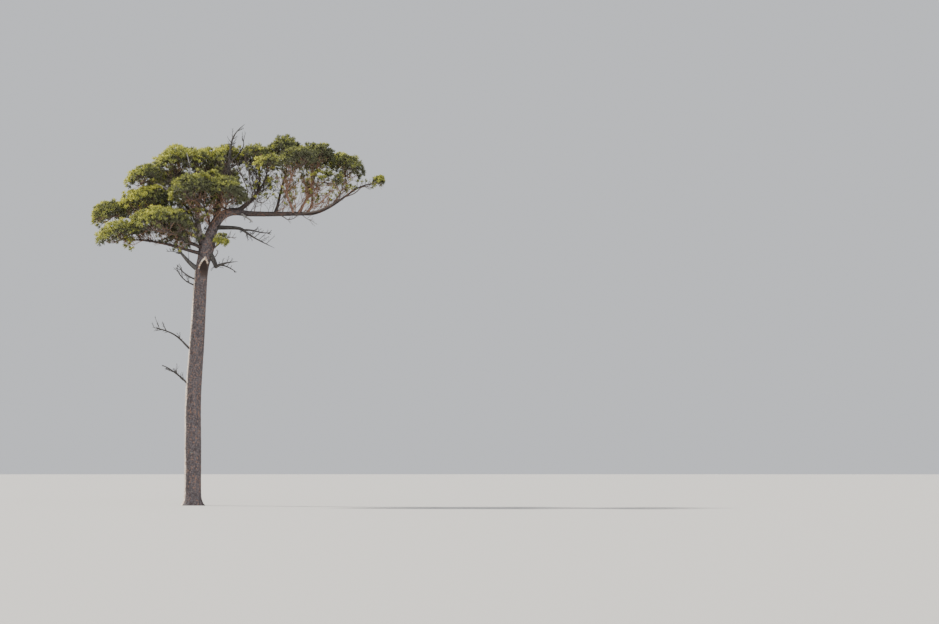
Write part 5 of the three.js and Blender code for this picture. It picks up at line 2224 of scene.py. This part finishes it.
@dataclass(frozen=True)
class SideTwigs:
    """Fine side twigs that leave a limb and fork: metres, and shares of their own length."""

    space: Space
    length: float
    radius: float
    rise: float = 0.35
    ahead: float = 0.8
    depth: int = 1
    shortest: float = 0.5
    bow: float = 0.12
    upturn: float = 0.15
    stations: int = 5
    taper: float = 0.6
    forks: tuple[float, ...] = (0.32, 0.5, 0.68, 0.86)
    fork_side: float = 0.9
    fork_rise: float = 0.2
    fork_length: float = 0.5
    fork_taper: Pair = (1.15, 0.5)
    fork_uneven: Pair = (0.7, 1.1)
    fork_radius: float = 0.62

    def grow(self, bundle: Bundle, line: Line, places: Array, rng: Rng) -> tuple[Array, Array]:
        """Grows side twigs at these places of a line.

        Args:
            bundle: what they are added to.
            line: their line.
            places: where on it, from 0 to 1.
            rng: the generator.

        Returns:
            The twigs' tips, and which way each one looks.
        """
        starts = line.at(places)
        ahead = np.array([heading_at(line, float(t)) for t in places])
        out = across_from(rng.normal(0, 1, ahead.shape), ahead)
        heading = unit(self.ahead * ahead + out + self.rise * UP)
        lengths = self.length * rng.uniform(self.shortest, 1.0, len(places))
        return self._strands(bundle, starts, heading, lengths, rng)

    def _strands(
        self, bundle: Bundle, starts: Array, heading: Array, lengths: Array, rng: Rng
    ) -> tuple[Array, Array]:
        """Adds one order of twigs, and the orders that fork from it.

        Args:
            bundle: what they are added to.
            starts: their starts.
            heading: their ways.
            lengths: their lengths.
            rng: the generator.

        Returns:
            All tips, and which way each one looks.
        """
        s = np.linspace(0, 1, self.stations)[None, :, None]
        bow = rng.normal(0, self.bow, (len(starts), 1, 3)) + self.upturn * UP
        paths = starts[:, None] + lengths[:, None, None] * (heading[:, None] * s + bow * s * s)
        inside = self.space.holds(paths[:, -1])
        paths, starts, heading, bow = paths[inside], starts[inside], heading[inside], bow[inside]
        lengths = lengths[inside]
        tips, ways = paths[:, -1], unit(paths[:, -1] - paths[:, -2])
        if not self.depth:
            add_spikes(bundle, starts, tips, self.radius)
            return tips, ways
        radii = self.radius * (1 - self.taper * s[..., 0])
        add_strands(bundle, paths, np.broadcast_to(radii, paths.shape[:2]))
        finer = replace(self, radius=self.fork_radius * self.radius, depth=self.depth - 1)
        full, loss = self.fork_taper
        found = [(tips, ways)]
        for share in self.forks:
            fork_starts = starts + share * lengths[:, None] * (heading + bow[:, 0] * share)
            side = across_from(rng.normal(0, 1, heading.shape), heading)
            fork_heading = unit(heading + self.fork_side * side + self.fork_rise * UP)
            reach = self.fork_length * lengths * (full - loss * share) * rng.uniform(*self.fork_uneven)
            found.append(finer._strands(bundle, fork_starts, fork_heading, reach, rng))
        return np.concatenate([tip for tip, _ in found]), np.concatenate([way for _, way in found])


@dataclass
class Foliage:
    """All the masses, carried on to fine twigs, shoots and needles, joined by kind.

    The radii are in metres: at the foot, how much is lost on the way, and at the hub.
    """

    skeleton: Skeleton
    sprays: Sprays
    crops: dict[Region, Crop] = field(default_factory=lambda: {part: Crop() for part in Region})
    stem_loss: float = 0.25
    stem_sides: int = 7
    twig_radii: Triple = (0.024, 0.011, 0.008)
    twig_sides: int = 5
    stalk_radii: Pair = (0.013, 0.006)
    stalk_sides: int = 4
    under: Pair = (0.55, 0.011)
    under_rise: float = 0.1
    under_span: Pair = (0.1, 0.95)
    under_count: int = 4
    leaf_upturn: float = 0.5
    leaf_noise: float = 0.12
    leaf_size: float = 0.95
    side_radius: float = 0.014
    lone_span: Pair = (0.35, 1.0)
    lone_side: float = 0.4
    lone_light: float = 0.6

    def _grow_mass(self, mass: Mass, rng: Rng) -> None:
        """Grows one mass: stem, main twigs, stalks, tufts and bare side twigs.

        Args:
            mass: the mass.
            rng: the generator.
        """
        crop, thin = self.crops[mass.row.region], mass.thin
        old, young = crop.twigs[Tone.OLD], crop.twigs[Tone.YOUNG]
        ts, steps = np.linspace(0, 1, 7), np.linspace(0, 1, 5)
        thick = float(mass.bough.radius(1.0))
        add_strands(old, mass.stem.at(ts)[None], thick * (1 - self.stem_loss * ts)[None], self.stem_sides)
        length, radius = self.under
        under = SideTwigs(self.sprays.space, length * thin, radius * thin, self.under_rise)
        foot, loss, end = self.twig_radii
        radii = thin * np.append(foot - loss * ts, end)
        foot, loss = self.stalk_radii
        stalk_radii = thin * (foot - loss * steps)
        for group in mass.groups():
            twig = mass.main_twig(group[0])
            hub = mass.hub(group[0], twig.tip)
            path = np.concatenate([twig.at(ts), hub[None]])
            add_strands(old, path[None], radii[None], self.twig_sides)
            under.grow(young, twig, rng.uniform(*self.under_span, self.under_count), rng)
            self.sprays.tuft(crop, group[0], hub, mass, rng)
            for tuft in group[1:]:
                stalk = mass.stalk(twig, tuft)
                add_strands(old, stalk.at(steps)[None], stalk_radii[None], self.stalk_sides)
                self.sprays.tuft(crop, tuft, stalk.tip, mass, rng)

    def _leaf(
        self, region: Region, tips: Array, ways: Array, share: float, light: float, rng: Rng
    ) -> None:
        """Grows a clump of needles on some of the tips.

        Args:
            region: the twigs' part of the crown.
            tips: the twigs' tips.
            ways: their ways.
            share: how many get a clump, from 0 to 1.
            light: how sunlit they are, from 0 to 1.
            rng: the generator.
        """
        chosen = (rng.random(len(tips)) < share) & self.sprays.space.holds(tips, self.sprays.inset)
        chosen &= ~self.sprays.hides(tips)
        lights = light + rng.normal(0, self.leaf_noise, int(chosen.sum()))
        heading = unit(ways[chosen] + self.leaf_upturn * UP)
        crop = self.crops[region]
        self.sprays.clump(crop, tips[chosen], heading, LAYERS[-1], lights, self.leaf_size, rng)

    def _grow_side_twigs(self, row: TwigRow, rng: Rng) -> None:
        """Grows the fine twigs of a row, some with a clump at the tip."""
        rule = SideTwigs(
            self.sprays.space, row.length, self.side_radius, row.rise, row.ahead, depth=2
        )
        line = self.skeleton.boughs[row.limb].line
        places = rng.uniform(*row.span, row.count)
        tips, ways = rule.grow(self.crops[row.region].twigs[row.tone], line, places, rng)
        self._leaf(row.region, tips, ways, row.leafy, row.light, rng)

    def _grow_lone_twig(self, twig: LoneTwig, rng: Rng) -> None:
        """Grows a single twig with a few side twigs of its own."""
        bundle = self.crops[twig.region].twigs[twig.tone]
        line = PlacesLine(np.array(twig.places))
        rule = SideTwigs(self.sprays.space, twig.side, self.lone_side * twig.radius)
        ts = np.linspace(0, 1, 4 * len(twig.places))
        radii = twig.radius * (1 - rule.taper * ts)
        add_strands(bundle, line.at(ts)[None], radii[None], self.twig_sides)
        places = rng.uniform(*self.lone_span, 2 * len(twig.places))
        tips, ways = rule.grow(bundle, line, places, rng)
        self._leaf(twig.region, tips, ways, twig.leafy, self.lone_light, rng)

    def build(self) -> None:
        """Grows every mass and joins what grew into pieces by region and kind."""
        for i, row in enumerate(MASSES):
            bough = self.skeleton.boughs[row.limb]
            mass = Mass(row, SEEDS.masses + i * SEEDS.mass_step, bough)
            self._grow_mass(mass, np.random.default_rng(SEEDS.shoots + i))
            log.info("mass %s: %d tufts", row.name, len(mass.tufts))
        rng = np.random.default_rng(SEEDS.side_twigs)
        for row in TWIG_ROWS:
            self._grow_side_twigs(row, rng)
        for twig in LONE_TWIGS:
            self._grow_lone_twig(twig, rng)
        barks = {f"{tone.value}_twigs": look.build() for tone, look in TWIG_FINISHES.items()}
        shades = {f"{shade.value}_sprays": look.build() for shade, look in NEEDLE_FINISHES.items()}
        for region, crop in self.crops.items():
            nodes = [f"needles_{row.name}" for row in MASSES if row.region is region]
            bundles = [*crop.twigs.values(), *crop.needles.values()]
            for (kind, look), bundle in zip((barks | shades).items(), bundles):
                name = f"{region.value}_{kind}"
                add_piece(name, bundle.mesh(name), look, nodes)


# The stage


@dataclass(frozen=True)
class Lamp:
    """A soft sun, by where it stands and how wide it looks, in degrees."""

    name: str
    heading: float
    rise: float
    strength: float
    spread: float
    colour: Colour


LAMPS = (
    Lamp("key", *SUN, 9.2, 6.0, (1.0, 0.94, 0.84)),
    Lamp("fill", -80.0, 15.0, 3.0, 70.0, (0.96, 0.97, 1.0)),
)


@dataclass(frozen=True)
class Stage:
    """The pale floor, the soft light and the camera."""

    frame: tuple[int, int] = (939, 624)
    metres_per_pixel: float = 0.042
    distance: float = 110.0
    eye: float = 1.5
    trunk_pixel: Pair = (193.2, 506.0)
    floor_radius: float = 700.0
    floor_sides: int = 96
    sky: Colour = (0.86, 0.88, 0.92)
    sky_strength: float = 0.8

    @staticmethod
    def _aim(thing: Object, way: Vector) -> None:
        """Turns a lamp or the camera to look this way, upright."""
        thing.rotation_mode = "QUATERNION"
        thing.rotation_quaternion = way.to_track_quat("-Z", "Y")

    def floor(self) -> None:
        """Lays the floor."""
        bm = bmesh.new()
        bmesh.ops.create_circle(bm, cap_ends=True, segments=self.floor_sides, radius=self.floor_radius)
        mesh = mesh_of(bm, "floor")
        mesh.materials.append(FLOOR_FINISH.build())
        add_object("floor", mesh)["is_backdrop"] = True

    def lights(self) -> None:
        """Sets a soft sun high on the left behind the tree, a front fill and a pale world."""
        for row in LAMPS:
            lamp = bpy.data.lights.new(row.name, "SUN")
            lamp.energy = row.strength
            lamp.angle = math.radians(row.spread)
            lamp.color = row.colour
            self._aim(add_object(row.name, lamp), Vector(-heading_vector(row.heading, row.rise)))
        world = bpy.data.worlds.new("pale_room")
        world.use_nodes = True
        background = world.node_tree.nodes["Background"]
        Sheet(world.node_tree).feed(background, Color=(*self.sky, 1.0), Strength=self.sky_strength)
        bpy.context.scene.world = world

    def camera(self) -> None:
        """Sets the camera far in front, with the tree where the photograph has it."""
        width, height = self.frame
        right = (width / 2 - self.trunk_pixel[0]) * self.metres_per_pixel
        up = (self.trunk_pixel[1] - height / 2) * self.metres_per_pixel
        lens = bpy.data.cameras.new("camera")
        lens.lens = lens.sensor_width * self.distance / (width * self.metres_per_pixel)
        lens.clip_end = 4 * self.floor_radius
        camera = add_object("camera", lens)
        camera.location = (0.0, -self.distance, self.eye)
        self._aim(camera, Vector((right, 0.0, up)) - camera.location)
        bpy.context.scene.camera = camera


def main() -> None:
    """Builds the tree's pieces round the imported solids, in order."""
    logging.basicConfig(level=logging.INFO, format="%(name)s: %(message)s")
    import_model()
    cad_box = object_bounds()
    stage = Stage()
    stage.camera()
    stage.floor()
    stage.lights()
    effects = SharedEffects()
    skeleton = Skeleton()
    skeleton.grow()
    Trunk().build(effects)
    Boughs(skeleton).build(effects)
    space = Space(*(np.array(corner) for corner in cad_box))
    DeadLimbs(skeleton, space).build(effects)
    Foliage(skeleton, Sprays(space, skeleton.in_view())).build()


if __name__ == "__main__":
    main()
